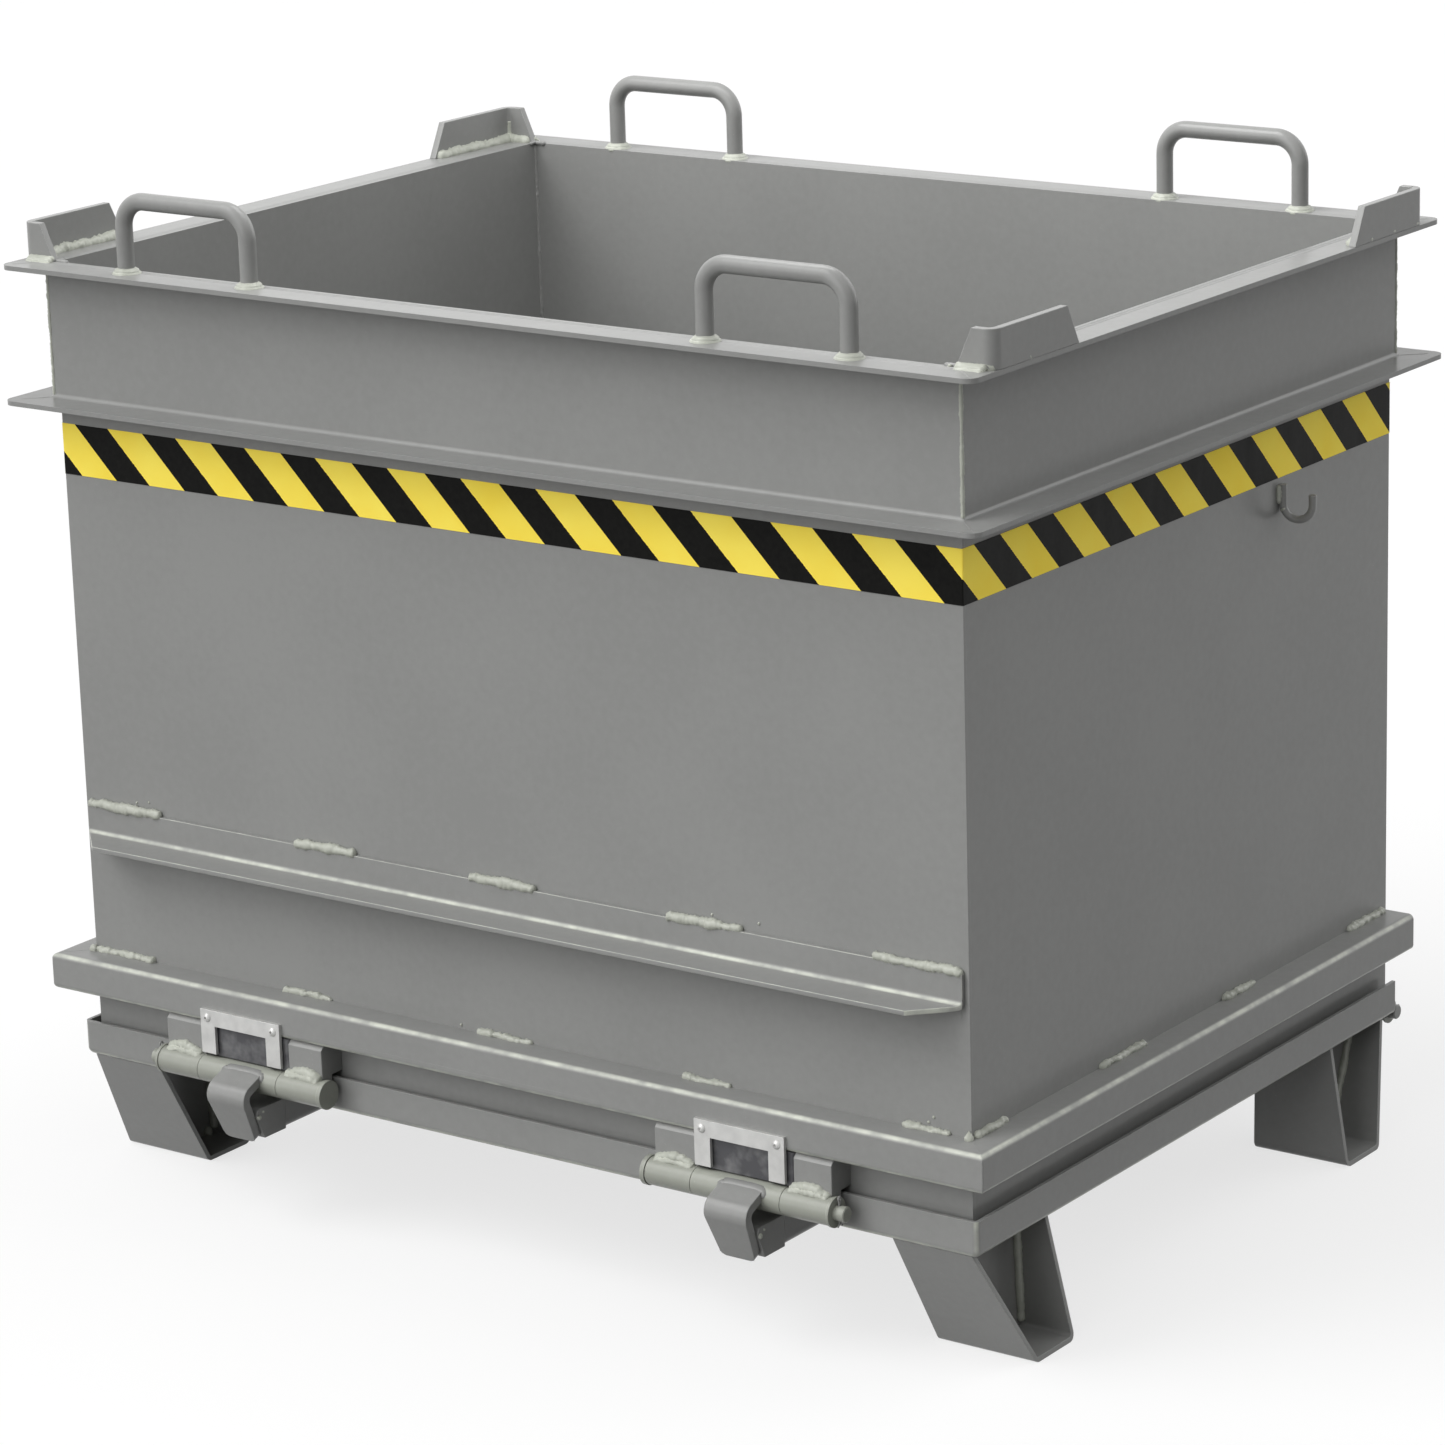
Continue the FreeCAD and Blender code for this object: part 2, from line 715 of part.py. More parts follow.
def make_screw(x, z):
    """Pan head screw through the plate into the channel."""
    face = channel_face_y - plate_thickness
    shank = rod(Vector(x, face, z), Vector(x, face + screw_length, z), screw_shank_radius)
    cap_radius = (screw_head_radius ** 2 + screw_head_height ** 2) / (2 * screw_head_height)
    cap = Part.makeSphere(cap_radius, Vector(x, face + cap_radius - screw_head_height, z))
    slab = rod(Vector(x, face, z), Vector(x, face - screw_head_height - overrun, z), cap_radius)
    socket = rod(Vector(x, face - screw_head_height - overrun, z),
                 Vector(x, face - screw_head_height + socket_depth, z), socket_radius)
    return cap.common(slab).cut(socket).fuse(shank).removeSplitter()


def make_plate(centre):
    """Plate with a window open at the bottom, into which the claw swings."""
    half, inner = plate_width / 2, plate_width / 2 - plate_leg
    low, high = plate_underside, plate_underside + plate_height
    window = high - plate_bar
    outline = [(centre - half, low), (centre - half, high), (centre + half, high), (centre + half, low),
               (centre + inner, low), (centre + inner, window),
               (centre - inner, window), (centre - inner, low)]
    shape = polygon(outline, upright_y(channel_face_y)).extrude(Vector(0, -plate_thickness, 0))
    for x, z in screw_places(centre):
        shape = shape.cut(rod(Vector(x, channel_face_y + overrun, z),
                              Vector(x, channel_face_y - plate_thickness - overrun, z), screw_shank_radius))
    return shape


def nose_reach(drop):
    """How far in front of the pin axis the claw's inner face lies, at a drop below it."""
    lean = (claw_knee_reach - claw_tip_reach) / (claw_tip_drop - claw_knee_drop)
    outer = claw_tip_reach + (claw_tip_drop - drop) * lean
    return outer - claw_bar * math.sqrt(1 + lean ** 2)


def make_keeper(station):
    """Solid nose of a runner, sloped to lie on the claw, rounded where the claw rides in."""
    top, low = floor_height, floor_height - runner_height
    gap = keeper_gap
    front_top = pin_axis_y - nose_reach(pin_axis_height - top) + gap
    front_low = pin_axis_y - nose_reach(pin_axis_height - low) + gap
    rear = -(half_width + tray_outset) + runner_front_inset
    outline = [(rear, low), (front_low, low), (front_top, top), (rear, top)]
    x = station - runner_width / 2
    shape = polygon(outline, upright_x(x)).extrude(Vector(runner_width, 0, 0))
    nose = [edge for edge in shape.Edges
            if edge.BoundBox.XLength > runner_width / 2 and abs(edge.BoundBox.YMin - front_top) < gap
            and abs(edge.BoundBox.ZMin - top) < gap]
    return shape.makeFillet(keeper_top_radius, nose)


def make_runner(station):
    """Channel under the tray, open side up against it."""
    top, low = floor_height, floor_height - runner_height
    half = runner_width / 2
    front = -(half_width + tray_outset) + runner_front_inset
    rear = half_width - runner_rear_inset
    corners = [(station - half, top), (station - half, low), (station + half, low), (station + half, top)]
    section = face_of(folded_edges(corners, runner_sheet, runner_bend_radius), upright_y(front))
    return section.extrude(Vector(0, rear - front, 0))


def knuckle_spans():
    """Spans along X of the body's and the flap's hinge knuckles."""
    end, length = hinge_half_length, knuckle_length
    body = [(-end, -end + length), (-length / 2, length / 2), (end - length, end)]
    near = length / 2 + knuckle_gap
    far = foot_inner_edge_top - knuckle_foot_gap
    right = [(near, near + length), (far - length, far)]
    flap = [(-stop, -start) for start, stop in right] + right
    return body, flap


def make_knuckles():
    """Hinge barrels with leaves: the body's stand on the rear wall, the flap's lie under the tray."""
    y, z = hinge_axis_y, hinge_axis_height
    body_spans, flap_spans = knuckle_spans()
    body, flap = [], []
    for start, end in body_spans:
        shape = rod(Vector(start, y, z), Vector(end, y, z), knuckle_radius)
        leaf = block(Vector(start, half_width, z),
                     Vector(end, half_width + hinge_leaf_sheet, z + body_leaf_rise))
        body.append(bored_knuckle(shape.fuse(leaf), start, end))
    for start, end in flap_spans:
        shape = rod(Vector(start, y, z), Vector(end, y, z), knuckle_radius)
        leaf = block(Vector(start, half_width - flap_leaf_depth, floor_height - hinge_leaf_sheet),
                     Vector(end, y, floor_height))
        flap.append(bored_knuckle(shape.fuse(leaf), start, end))
    return {"hinge_knuckles_body": Part.makeCompound(body), "hinge_knuckles_flap": Part.makeCompound(flap)}


def bored_knuckle(shape, start, end):
    """Knuckle with its bore cut right through."""
    y, z = hinge_axis_y, hinge_axis_height
    bore = rod(Vector(start - overrun, y, z), Vector(end + overrun, y, z), hinge_bore)
    return shape.cut(bore).removeSplitter()


def make_hinge_rod():
    """Long rod through all the knuckles, held by a washer and a cotter at each end."""
    y, z = hinge_axis_y, hinge_axis_height
    hole = hinge_half_length + hinge_washer_thickness + cotter_radius
    end = hole + hinge_rod_end_length
    shape = rod(Vector(-end, y, z), Vector(end, y, z), hinge_rod_radius)
    shape = chamfer_end(chamfer_end(shape, end, hinge_rod_radius), -end, hinge_rod_radius)
    across = Vector(0, 1, 0)
    cotters = [make_cotter(Vector(side * hole, y, z), across, hinge_cotter_length) for side in (-1, 1)]
    washers = [make_washer(side * hinge_half_length, side, y, z, hinge_washer_radius, hinge_bore,
                           hinge_washer_thickness) for side in (-1, 1)]
    for cotter in cotters:
        shape = shape.cut(cotter)
    return shape, washers, cotters


def make_latch(side):
    """All the pieces of one latch; side is 1 on the right and -1 on the left."""
    name = "right" if side > 0 else "left"
    station = side * latch_station
    centre = station - barrel_offset
    y, z = pin_axis_y, pin_axis_height
    spans = outer_barrel_ends(centre)
    barrels = [barrel(start, end, y, z, barrel_radius, pin_bore) for start, end in spans]
    blocks = [make_mount_block(spans[0][0] + block_end_inset, min(spans[0][1], station - buffer_width / 2)),
              make_mount_block(max(spans[1][0], station + buffer_width / 2), spans[1][1] - block_end_inset)]
    middle = middle_barrel_length / 2
    pin, cotter = make_latch_pin(centre, side)
    washer = make_washer(centre + side * latch_half_length, side, y, z,
                         pin_head_radius, pin_bore, washer_thickness)
    pieces = {
        "latch_barrels_" + name: Part.makeCompound(barrels),
        "latch_blocks_" + name: Part.makeCompound(blocks),
        "latch_pin_" + name: pin,
        "hook_barrel_" + name: barrel(centre - middle, centre + middle, y, z, barrel_radius, pin_bore),
        "hook_claw_" + name: make_claw(station),
        "rubber_buffer_" + name: make_buffer(station),
        "buffer_plate_" + name: make_plate(centre),
        "runner_" + name: make_runner(station),
        "keeper_" + name: make_keeper(station),
    }
    screws = [make_screw(x, height) for x, height in screw_places(centre)]
    return pieces, screws, washer, cotter


def drill_channel(channel, screws):
    """Cuts the screw holes in the front channel."""
    for screw in screws:
        channel = channel.cut(screw)
    return channel


def make_all():
    """Every piece by its name."""
    pieces = {}
    pieces.update(make_walls())
    pieces.update(make_collar())
    pieces.update(make_base_channel())
    pieces.update(make_front_rail())
    pieces.update(four_corners("stacking_angle", make_stacking_angle()))
    pieces.update(four_corners("lifting_bow", make_bow()))
    pieces.update(make_chain_hook())
    pieces.update(make_tape())
    pieces.update(make_tray())
    pieces.update(make_feet())
    pieces.update(make_knuckles())
    hinge_rod, washers, cotters = make_hinge_rod()
    pieces["hinge_rod"] = hinge_rod
    screws = []
    for side in (-1, 1):
        latch, latch_screws, washer, cotter = make_latch(side)
        pieces.update(latch)
        screws += latch_screws
        washers.append(washer)
        cotters.append(cotter)
    pieces["washers"] = Part.makeCompound(washers)
    pieces["cotters"] = Part.makeCompound(cotters)
    pieces["buffer_screws"] = Part.makeCompound(screws)
    pieces["base_channel_front"] = drill_channel(pieces["base_channel_front"], screws)
    return pieces


os.makedirs("parts", exist_ok=True)
for piece_name, piece in make_all().items():
    piece.translate(Vector(0, frame_shift_y, 0))
    piece.exportStep("parts/" + piece_name + ".step")
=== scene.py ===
import math

import bpy
from mathutils import Matrix, Vector, noise


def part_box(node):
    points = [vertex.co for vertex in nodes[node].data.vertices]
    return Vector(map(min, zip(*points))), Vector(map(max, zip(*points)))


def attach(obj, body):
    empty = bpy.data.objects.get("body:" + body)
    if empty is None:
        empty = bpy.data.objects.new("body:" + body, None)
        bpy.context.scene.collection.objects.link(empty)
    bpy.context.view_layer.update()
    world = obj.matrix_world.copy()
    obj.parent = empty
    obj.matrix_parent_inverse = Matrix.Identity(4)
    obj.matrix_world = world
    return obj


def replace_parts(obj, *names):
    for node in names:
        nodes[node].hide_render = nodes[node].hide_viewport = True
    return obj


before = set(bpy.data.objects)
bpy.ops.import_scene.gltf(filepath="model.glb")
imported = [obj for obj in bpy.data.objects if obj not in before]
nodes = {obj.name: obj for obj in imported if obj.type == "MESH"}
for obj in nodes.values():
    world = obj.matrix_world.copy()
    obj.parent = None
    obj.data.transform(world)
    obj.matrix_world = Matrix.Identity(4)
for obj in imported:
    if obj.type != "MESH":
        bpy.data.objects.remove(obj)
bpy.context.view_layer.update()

mm = 0.001

# Corners of the hopper and their sides along X and Y
corners = {"front_right": (1, -1), "front_left": (-1, -1), "rear_right": (1, 1), "rear_left": (-1, 1)}

# Camera, fitted to the photograph
photo_width = 1445
focal_pixels = 5163.4
sensor_width = 36.0
camera_azimuth = math.radians(36.0)
camera_elevation = math.radians(15.9)
camera_roll = math.radians(-1.7)
camera_distance = 5496.4 * mm
aim = Vector((0, 19.0, 514.25)) * mm
aim_right = -13.9 * mm
aim_up = -32.5 * mm

# Light of an overcast sky: soft lamps given as direction, spread and strength
lamps = {"sky_front": ((-0.42, -0.44, 0.79), 36, 0.40), "sky_low": ((-0.25, -0.90, 0.35), 60, 0.52),
         "sky_rear": ((0.45, 0.80, 0.40), 50, 0.26), "sky_right": ((0.60, -0.05, 0.80), 60, 0.13)}
overhead_place = Vector((-110, 0, 2010)) * mm
overhead_size = (900 * mm, 700 * mm)
overhead_power = 8.6
sky_low = 0.20
sky_high = 0.80
sky_left = 1.20
sky_right = 0.10

# Floor: half its width, its tone as the object sees it and as the camera does, and its share of white glow
floor_reach = 40.0
floor_bounce = 0.18
floor_tone = 0.95
floor_glow = 0.72

# Colours in linear light
grey = (0.272, 0.274, 0.267)
# Lighter, yellowish copy of the grey: a painted highlight for barrels, pins and washers, and the base of
# the painted highlights on welds and bends
highlight_grey = (0.320, 0.331, 0.290)
zinc_dull, zinc_bright, zinc_edge = (0.50, 0.50, 0.49), (0.60, 0.60, 0.585), (0.78, 0.78, 0.77)
rubber_black, rubber_dusty, rubber_edge = (0.070, 0.070, 0.076), (0.190, 0.190, 0.195), (0.14, 0.14, 0.15)
yellow_deep, yellow_bright = (0.95, 0.73, 0.080), (1.0, 0.81, 0.120)
ink_black, ink_worn = (0.003, 0.003, 0.003), (0.010, 0.010, 0.009)

# How much lighter the enamel on weld metal is painted, a painted highlight for the light its facets catch,
# and how wide the paler edges are, partly wear and partly painted highlight
weld_highlight_gain = 1.4
enamel_edge = 1.2 * mm
sheet_edge = 0.4 * mm

# The range in which most of a noise lies
noise_dark, noise_bright = 0.3, 0.7

# Share of the surface's normal in its softened one, where the paler edge (on enamel partly wear and partly
# painted highlight) starts and where it is full
pale_edge_start, pale_edge_full = 0.985, 0.80

# Largest part of a normal, on flats and halfway round a bend, where the painted bend highlight starts and
# where it is full
flat_side, full_bend = 0.99, 0.85

# Warning tape: its stripes, and on each side their axis, direction and start
stripe_pitch = 93.6 * mm
black_share = 0.487
tape_runs = {"tape_front": ("X", 1.0, -5 * mm), "tape_right": ("Y", 1.0, 948 * mm),
             "tape_rear": ("X", -1.0, 1939 * mm), "tape_left": ("Y", -1.0, -174 * mm)}

# Strength of a glow painted into the tape's print: it gives off its own colour, the same under any lamp
tape_glow = 0.15

# Rounded edges of compact pieces
edge_round = 0.7 * mm
edge_angle = math.radians(32)
join_gap = 0.001 * mm
rounded_nodes = ("hook_claw", "latch_blocks", "keeper", "stacking_angle", "front_rail", "rubber_buffer")

# Sizes of the CAD model that its boxes don't give
collar_sheet = 5.0 * mm
stack_sheet = 8.0 * mm
chain_hook_rod = 4.0 * mm
hinge_leaf_length = 60.0 * mm

# The ends of a rib's edges lie within these heights of its top and of its foot
rib_top_slack = 0.7 * mm
rib_foot_slack = 5.6 * mm

# Weld beads: radii, shape of the cross section, and ripples, lumps and swellings as shares of the radius
stitch_radius = 4.9 * mm
seam_radius = 1.6 * mm
fillet_radius = 4.6 * mm
drop_radius = 1.5 * mm
bead_sides = 10
bead_step = 1.5 * mm
taper_share = 0.8
blunt_tip = 0.01
thinnest = 0.2
ripple_pitch = 4.4 * mm
ripple_share, ripple_bow = 0.18, 0.5
lump_share, lump_scale = 0.34, 240.0
fine_lump_share, fine_lump_ratio = 0.5, 2.3
swell_share, swell_scale = 0.42, 62.0

# A direction that no bead runs along, from which the sides of every bead are set out
off_direction = Vector((0.31, 0.52, 0.79))

# Points on a ring round a bow's leg, on an arch, on the claw's weld, on a split pin's eye and round a wire
ring_steps = 40
arch_steps = 12
claw_weld_steps = 24
eye_steps = 8
wire_sides = 8
drop_rings, drop_sides = 6, 10

# Beads that fill a corner together: height, reach and radius of each, in fillet radii
bow_fillet = ((0.75, 0.0, 0.55), (0.3, 0.3, 0.7), (-0.2, 0.85, 0.6))
angle_puddle = ((0.5, 0.0, 0.8), (0.0, 0.5, 1.0), (-0.6, 1.2, 1.0))

# The seam round the rim: depth, reach and radius of each bead, in thicknesses of the collar
rim_seam = ((0.544, 0.25, 0.60), (0.72, 0.95, 0.72))

# The claw's weld: angles round the barrel, from the front, and how it stays nearly flush under the rubber
claw_weld_start = math.radians(5)
claw_weld_sweep = math.radians(45)
claw_weld_limit = math.radians(48)
claw_weld_proud = 0.35 * mm

# Stitches on the front and side walls: start and end, in millimetres
rail_stitches = [(-556, -453), (-269, -187), (-39, 46), (209, 300), (453, 556)]
front_stitches = [(-559, -475), (-296, -231), (-38, 33), (221, 280), (483, 538)]
side_stitches = [(-389, -330), (-161, -75), (80, 143), (343, 423)]

# Stitches along each runner, as shares of its length
runner_stitches = (0.06, 0.34, 0.62, 0.88)
runner_stitch_length = 1 / 12

# Drops of weld metal on the front wall: place along X and height, in millimetres
wall_drops = [(-489, 424), (-472, 427), (-180, 411), (318, 424), (262, 424), (-60, 252), (512, 256),
              (518, 262)]

# Split pins: wire, size and length, how far they sit from the ends of pin and rod, and the bend of the eye
split_pin_wire = 1.0 * mm
split_pin_eye = 2.8 * mm
split_pin_length = 27.0 * mm
pin_end_length = 9.0 * mm
rod_end_length = 8.0 * mm
eye_start = math.radians(-55)
eye_sweep = math.radians(290)


def make_camera():
    """Camera at the photograph's place and lens."""
    azimuth, elevation = camera_azimuth, camera_elevation
    forward = Vector((-math.sin(azimuth) * math.cos(elevation),
                      math.cos(azimuth) * math.cos(elevation), -math.sin(elevation)))
    level_right = Vector((math.cos(azimuth), math.sin(azimuth), 0))
    level_up = level_right.cross(forward)
    right = level_right * math.cos(camera_roll) + level_up * math.sin(camera_roll)
    up = level_up * math.cos(camera_roll) - level_right * math.sin(camera_roll)
    target = aim + level_right * aim_right + level_up * aim_up
    data = bpy.data.cameras.new("photo_camera")
    data.sensor_width = sensor_width
    data.lens = focal_pixels / photo_width * sensor_width
    camera = bpy.data.objects.new("photo_camera", data)
    axes = Matrix((right, up, -forward)).transposed()
    camera.matrix_world = Matrix.Translation(target - forward * camera_distance) @ axes.to_4x4()
    bpy.context.scene.collection.objects.link(camera)
    bpy.context.scene.camera = camera


def make_lamps():
    """Wide, distant lamps for the bright parts of the sky, and a soft one overhead."""
    for name, (direction, spread, strength) in lamps.items():
        data = bpy.data.lights.new(name, "SUN")
        data.angle = math.radians(spread)
        data.energy = strength * math.pi
        lamp = bpy.data.objects.new(name, data)
        lamp.matrix_world = Vector(direction).to_track_quat("Z", "Y").to_matrix().to_4x4()
        bpy.context.scene.collection.objects.link(lamp)
    data = bpy.data.lights.new("overhead", "AREA")
    data.shape = "RECTANGLE"
    data.size, data.size_y = overhead_size
    data.energy = overhead_power
    lamp = bpy.data.objects.new("overhead", data)
    lamp.location = overhead_place
    lamp.visible_camera = False
    bpy.context.scene.collection.objects.link(lamp)


class Tree:
    """Short way to add and link the nodes of a material or world."""

    def __init__(self, owner, output):
        owner.use_nodes = True
        self.tree = owner.node_tree
        self.tree.nodes.clear()
        self.output = self.add(output)

    def add(self, kind, **settings):
        """A new node with some settings."""
        node = self.tree.nodes.new(kind)
        for key, value in settings.items():
            setattr(node, key, value)
        return node

    def link(self, start, end):
        """Links two sockets."""
        self.tree.links.new(start, end)

    def put(self, socket, value):
        """Sets a socket to a number or colour, or links it."""
        if isinstance(value, bpy.types.NodeSocket):
            self.link(value, socket)
        elif isinstance(value, tuple) and len(socket.default_value) == 4:
            socket.default_value = value + (1.0,)
        else:
            socket.default_value = value

    def math(self, operation, a, b=0.0, c=0.0):
        """Result of a sum on numbers or sockets."""
        node = self.add("ShaderNodeMath", operation=operation)
        for socket, value in zip(node.inputs, (a, b, c)):
            self.put(socket, value)
        return node.outputs["Value"]

    def band(self, value, low, high, to_low=0.0, to_high=1.0):
        """The value, spread from between low and high to a new range."""
        node = self.add("ShaderNodeMapRange")
        for key, number in (("Value", value), ("From Min", low), ("From Max", high),
                            ("To Min", to_low), ("To Max", to_high)):
            self.put(node.inputs[key], number)
        return node.outputs["Result"]

    def shown(self):
        """1 where the camera, a reflection or a clear surface looks, and 0 for plain light."""
        path = self.add("ShaderNodeLightPath")
        seen = self.math("MAXIMUM", path.outputs["Is Camera Ray"], path.outputs["Is Glossy Ray"])
        return self.math("MAXIMUM", seen, path.outputs["Is Transmission Ray"])

    def blend(self, share, first, second):
        """Mix of two shaders."""
        node = self.add("ShaderNodeMixShader")
        self.put(node.inputs[0], share)
        self.link(first, node.inputs[1])
        self.link(second, node.inputs[2])
        return node.outputs[0]


class Shader(Tree):
    """Material with one main surface, drawn in the object's own place."""

    def __init__(self, name):
        self.material = bpy.data.materials.new(name)
        super().__init__(self.material, "ShaderNodeOutputMaterial")
        self.surface = self.add("ShaderNodeBsdfPrincipled")
        self.link(self.surface.outputs["BSDF"], self.output.inputs["Surface"])
        self.place = self.add("ShaderNodeTexCoord").outputs["Object"]

    def noise(self, scale, detail=2.0, place=None):
        """Noise from 0 to 1 at a scale per metre."""
        node = self.add("ShaderNodeTexNoise")
        for key, value in (("Scale", scale), ("Detail", detail), ("Vector", place or self.place)):
            self.put(node.inputs[key], value)
        return node.outputs["Fac"]

    def spread(self, value, to_low=0.0, to_high=1.0):
        """Noise, spread from its usual range to a new one."""
        return self.band(value, noise_dark, noise_bright, to_low, to_high)

    def stretched(self, scale):
        """The place, stretched along its axes."""
        node = self.add("ShaderNodeMapping")
        self.put(node.inputs["Scale"], scale)
        self.link(self.place, node.inputs["Vector"])
        return node.outputs["Vector"]

    def mix(self, share, first, second):
        """Colour between two colours."""
        node = self.add("ShaderNodeMix", data_type="RGBA")
        for number, value in ((0, share), (6, first), (7, second)):
            self.put(node.inputs[number], value)
        return node.outputs[2]

    def softened(self, radius):
        """Normal that turns softly round sharp edges."""
        node = self.add("ShaderNodeBevel", samples=4)
        self.put(node.inputs["Radius"], radius)
        return node.outputs["Normal"]

    def sharp_edge_mask(self, softened):
        """0 on flats and up to 1 along sharp edges."""
        product = self.add("ShaderNodeVectorMath", operation="DOT_PRODUCT")
        self.link(softened, product.inputs[0])
        self.link(self.add("ShaderNodeNewGeometry").outputs["Normal"], product.inputs[1])
        return self.band(product.outputs["Value"], pale_edge_start, pale_edge_full)

    def folded(self):
        """0 on flats that lie along the piece's axes and up to 1 on the bends between them."""
        parts = self.add("ShaderNodeSeparateXYZ")
        self.link(self.add("ShaderNodeTexCoord").outputs["Normal"], parts.inputs["Vector"])
        across, along, upright = (self.math("ABSOLUTE", parts.outputs[axis]) for axis in "XYZ")
        largest = self.math("MAXIMUM", self.math("MAXIMUM", across, along), upright)
        return self.band(largest, flat_side, full_bend)

    def bump(self, height, distance, strength, under):
        """Normal of a surface raised by a height from 0 to 1."""
        node = self.add("ShaderNodeBump")
        for key, value in (("Strength", strength), ("Distance", distance), ("Height", height)):
            self.put(node.inputs[key], value)
        self.link(under, node.inputs["Normal"])
        return node.outputs["Normal"]

    def finish(self, colour, roughness, normal, **fixed):
        """Puts colour, roughness and normal on the surface, and fixed values on its own sockets."""
        self.put(self.surface.inputs["Base Color"], colour)
        self.put(self.surface.inputs["Roughness"], roughness)
        self.put(self.surface.inputs["Normal"], normal)
        for key, value in fixed.items():
            self.put(self.surface.inputs[key.replace("_", " ")], value)
        return self.material


def toned(colour, gain):
    """The colour made lighter or darker."""
    return tuple(min(channel * gain, 1.0) for channel in colour)


def enamel_material(name, colour, edge_width, lumpy=0.0, bend_highlight=False):
    """Satin enamel on steel: faint clouds, orange peel, dust specks, paler edges that are partly wear and
    partly painted highlight, and a painted highlight on bends where asked.
    """
    cloud_scale, dapple_scale, speck_scale, edge_patch_scale, sheen_scale = 5.0, 110.0, 620.0, 48.0, 24.0
    wave_scale, peel_scale, spatter_scale = 6.0, 430.0, 330.0
    wave_height, peel_height, speck_height, spatter_height = 0.5 * mm, 0.05 * mm, 0.10 * mm, 0.6 * mm
    dapple_share, cloud_depth, speck_share = 0.8, 0.035, 0.30
    speck_gain, edge_gain, bend_highlight_gain = 1.9, 1.75, 1.9
    shader = Shader(name)
    soft = shader.softened(edge_width)
    dapples = shader.noise(dapple_scale, 3.0)
    clouds = shader.math("MULTIPLY_ADD", dapples, dapple_share, shader.noise(cloud_scale))
    darker, lighter = toned(colour, 1 - cloud_depth), toned(colour, 1 + cloud_depth)
    tone = shader.mix(shader.band(clouds, 0.7, 1.1), darker, lighter)
    specks = shader.band(shader.noise(speck_scale, 1.0), 0.74, 0.80)
    tone = shader.mix(shader.math("MULTIPLY", specks, speck_share), tone, toned(colour, speck_gain))
    edge_patches = shader.band(shader.noise(edge_patch_scale, 4.0), 0.35, 0.65, 0.30, 0.95)
    # Paler edges: partly wear, partly a painted highlight where the edges catch the light
    wear_and_highlight = shader.math("MULTIPLY", shader.sharp_edge_mask(soft), edge_patches)
    tone = shader.mix(wear_and_highlight, tone, toned(colour, edge_gain))
    # Painted highlight along the bends: a lighter, yellowish tone, broken into patches
    if bend_highlight:
        bent = shader.math("MULTIPLY", shader.folded(), edge_patches)
        tone = shader.mix(bent, tone, toned(highlight_grey, bend_highlight_gain))
    roughness = shader.band(shader.noise(sheen_scale, 3.0), 0.25, 0.75, 0.36, 0.46)
    normal = shader.bump(shader.noise(wave_scale, 1.0), wave_height, 0.3, soft)
    normal = shader.bump(shader.noise(peel_scale), peel_height, 0.55, normal)
    normal = shader.bump(specks, speck_height, 0.5, normal)
    if lumpy:
        normal = shader.bump(shader.noise(spatter_scale, 3.0), spatter_height, lumpy, normal)
    return shader.finish(tone, roughness, normal, Specular_IOR_Level=0.05, Coat_Weight=0.55,
                         Coat_Roughness=0.24)


def zinc_material():
    """Bright zinc plate: fine grain lines, cloudy sheen and paler edges."""
    edge_width, grain_height = 0.5 * mm, 0.02 * mm
    grain_scale, cloud_scale, along_grain = 900.0, 70.0, 0.06
    shader = Shader("zinc_plate")
    soft = shader.softened(edge_width)
    grain = shader.noise(grain_scale, 3.0, shader.stretched((along_grain, 1.0, 1.0)))
    clouds = shader.noise(cloud_scale, 5.0)
    tone = shader.mix(shader.spread(clouds), zinc_dull, zinc_bright)
    tone = shader.mix(shader.math("MULTIPLY", shader.sharp_edge_mask(soft), 0.6), tone, zinc_edge)
    roughness = shader.math("ADD", shader.spread(grain, 0.34, 0.46), shader.spread(clouds, 0.0, 0.06))
    return shader.finish(tone, roughness, shader.bump(grain, grain_height, 0.6, soft), Metallic=0.45)


def rubber_material():
    """Moulded rubber: nearly black, fine pores and pale dust in patches."""
    edge_width, pit_height, pore_height = 1.5 * mm, 0.25 * mm, 0.08 * mm
    dust_scale, pit_scale, pore_scale = 60.0, 140.0, 1500.0
    shader = Shader("moulded_rubber")
    soft = shader.softened(edge_width)
    dust = shader.band(shader.noise(dust_scale, 5.0), 0.42, 0.75)
    tone = shader.mix(dust, rubber_black, rubber_dusty)
    tone = shader.mix(shader.math("MULTIPLY", shader.sharp_edge_mask(soft), 0.5), tone, rubber_edge)
    roughness = shader.band(dust, 0.0, 1.0, 0.50, 0.75)
    normal = shader.bump(shader.noise(pit_scale), pit_height, 0.5, soft)
    normal = shader.bump(shader.noise(pore_scale), pore_height, 0.6, normal)
    return shader.finish(tone, roughness, normal, Specular_IOR_Level=0.35)


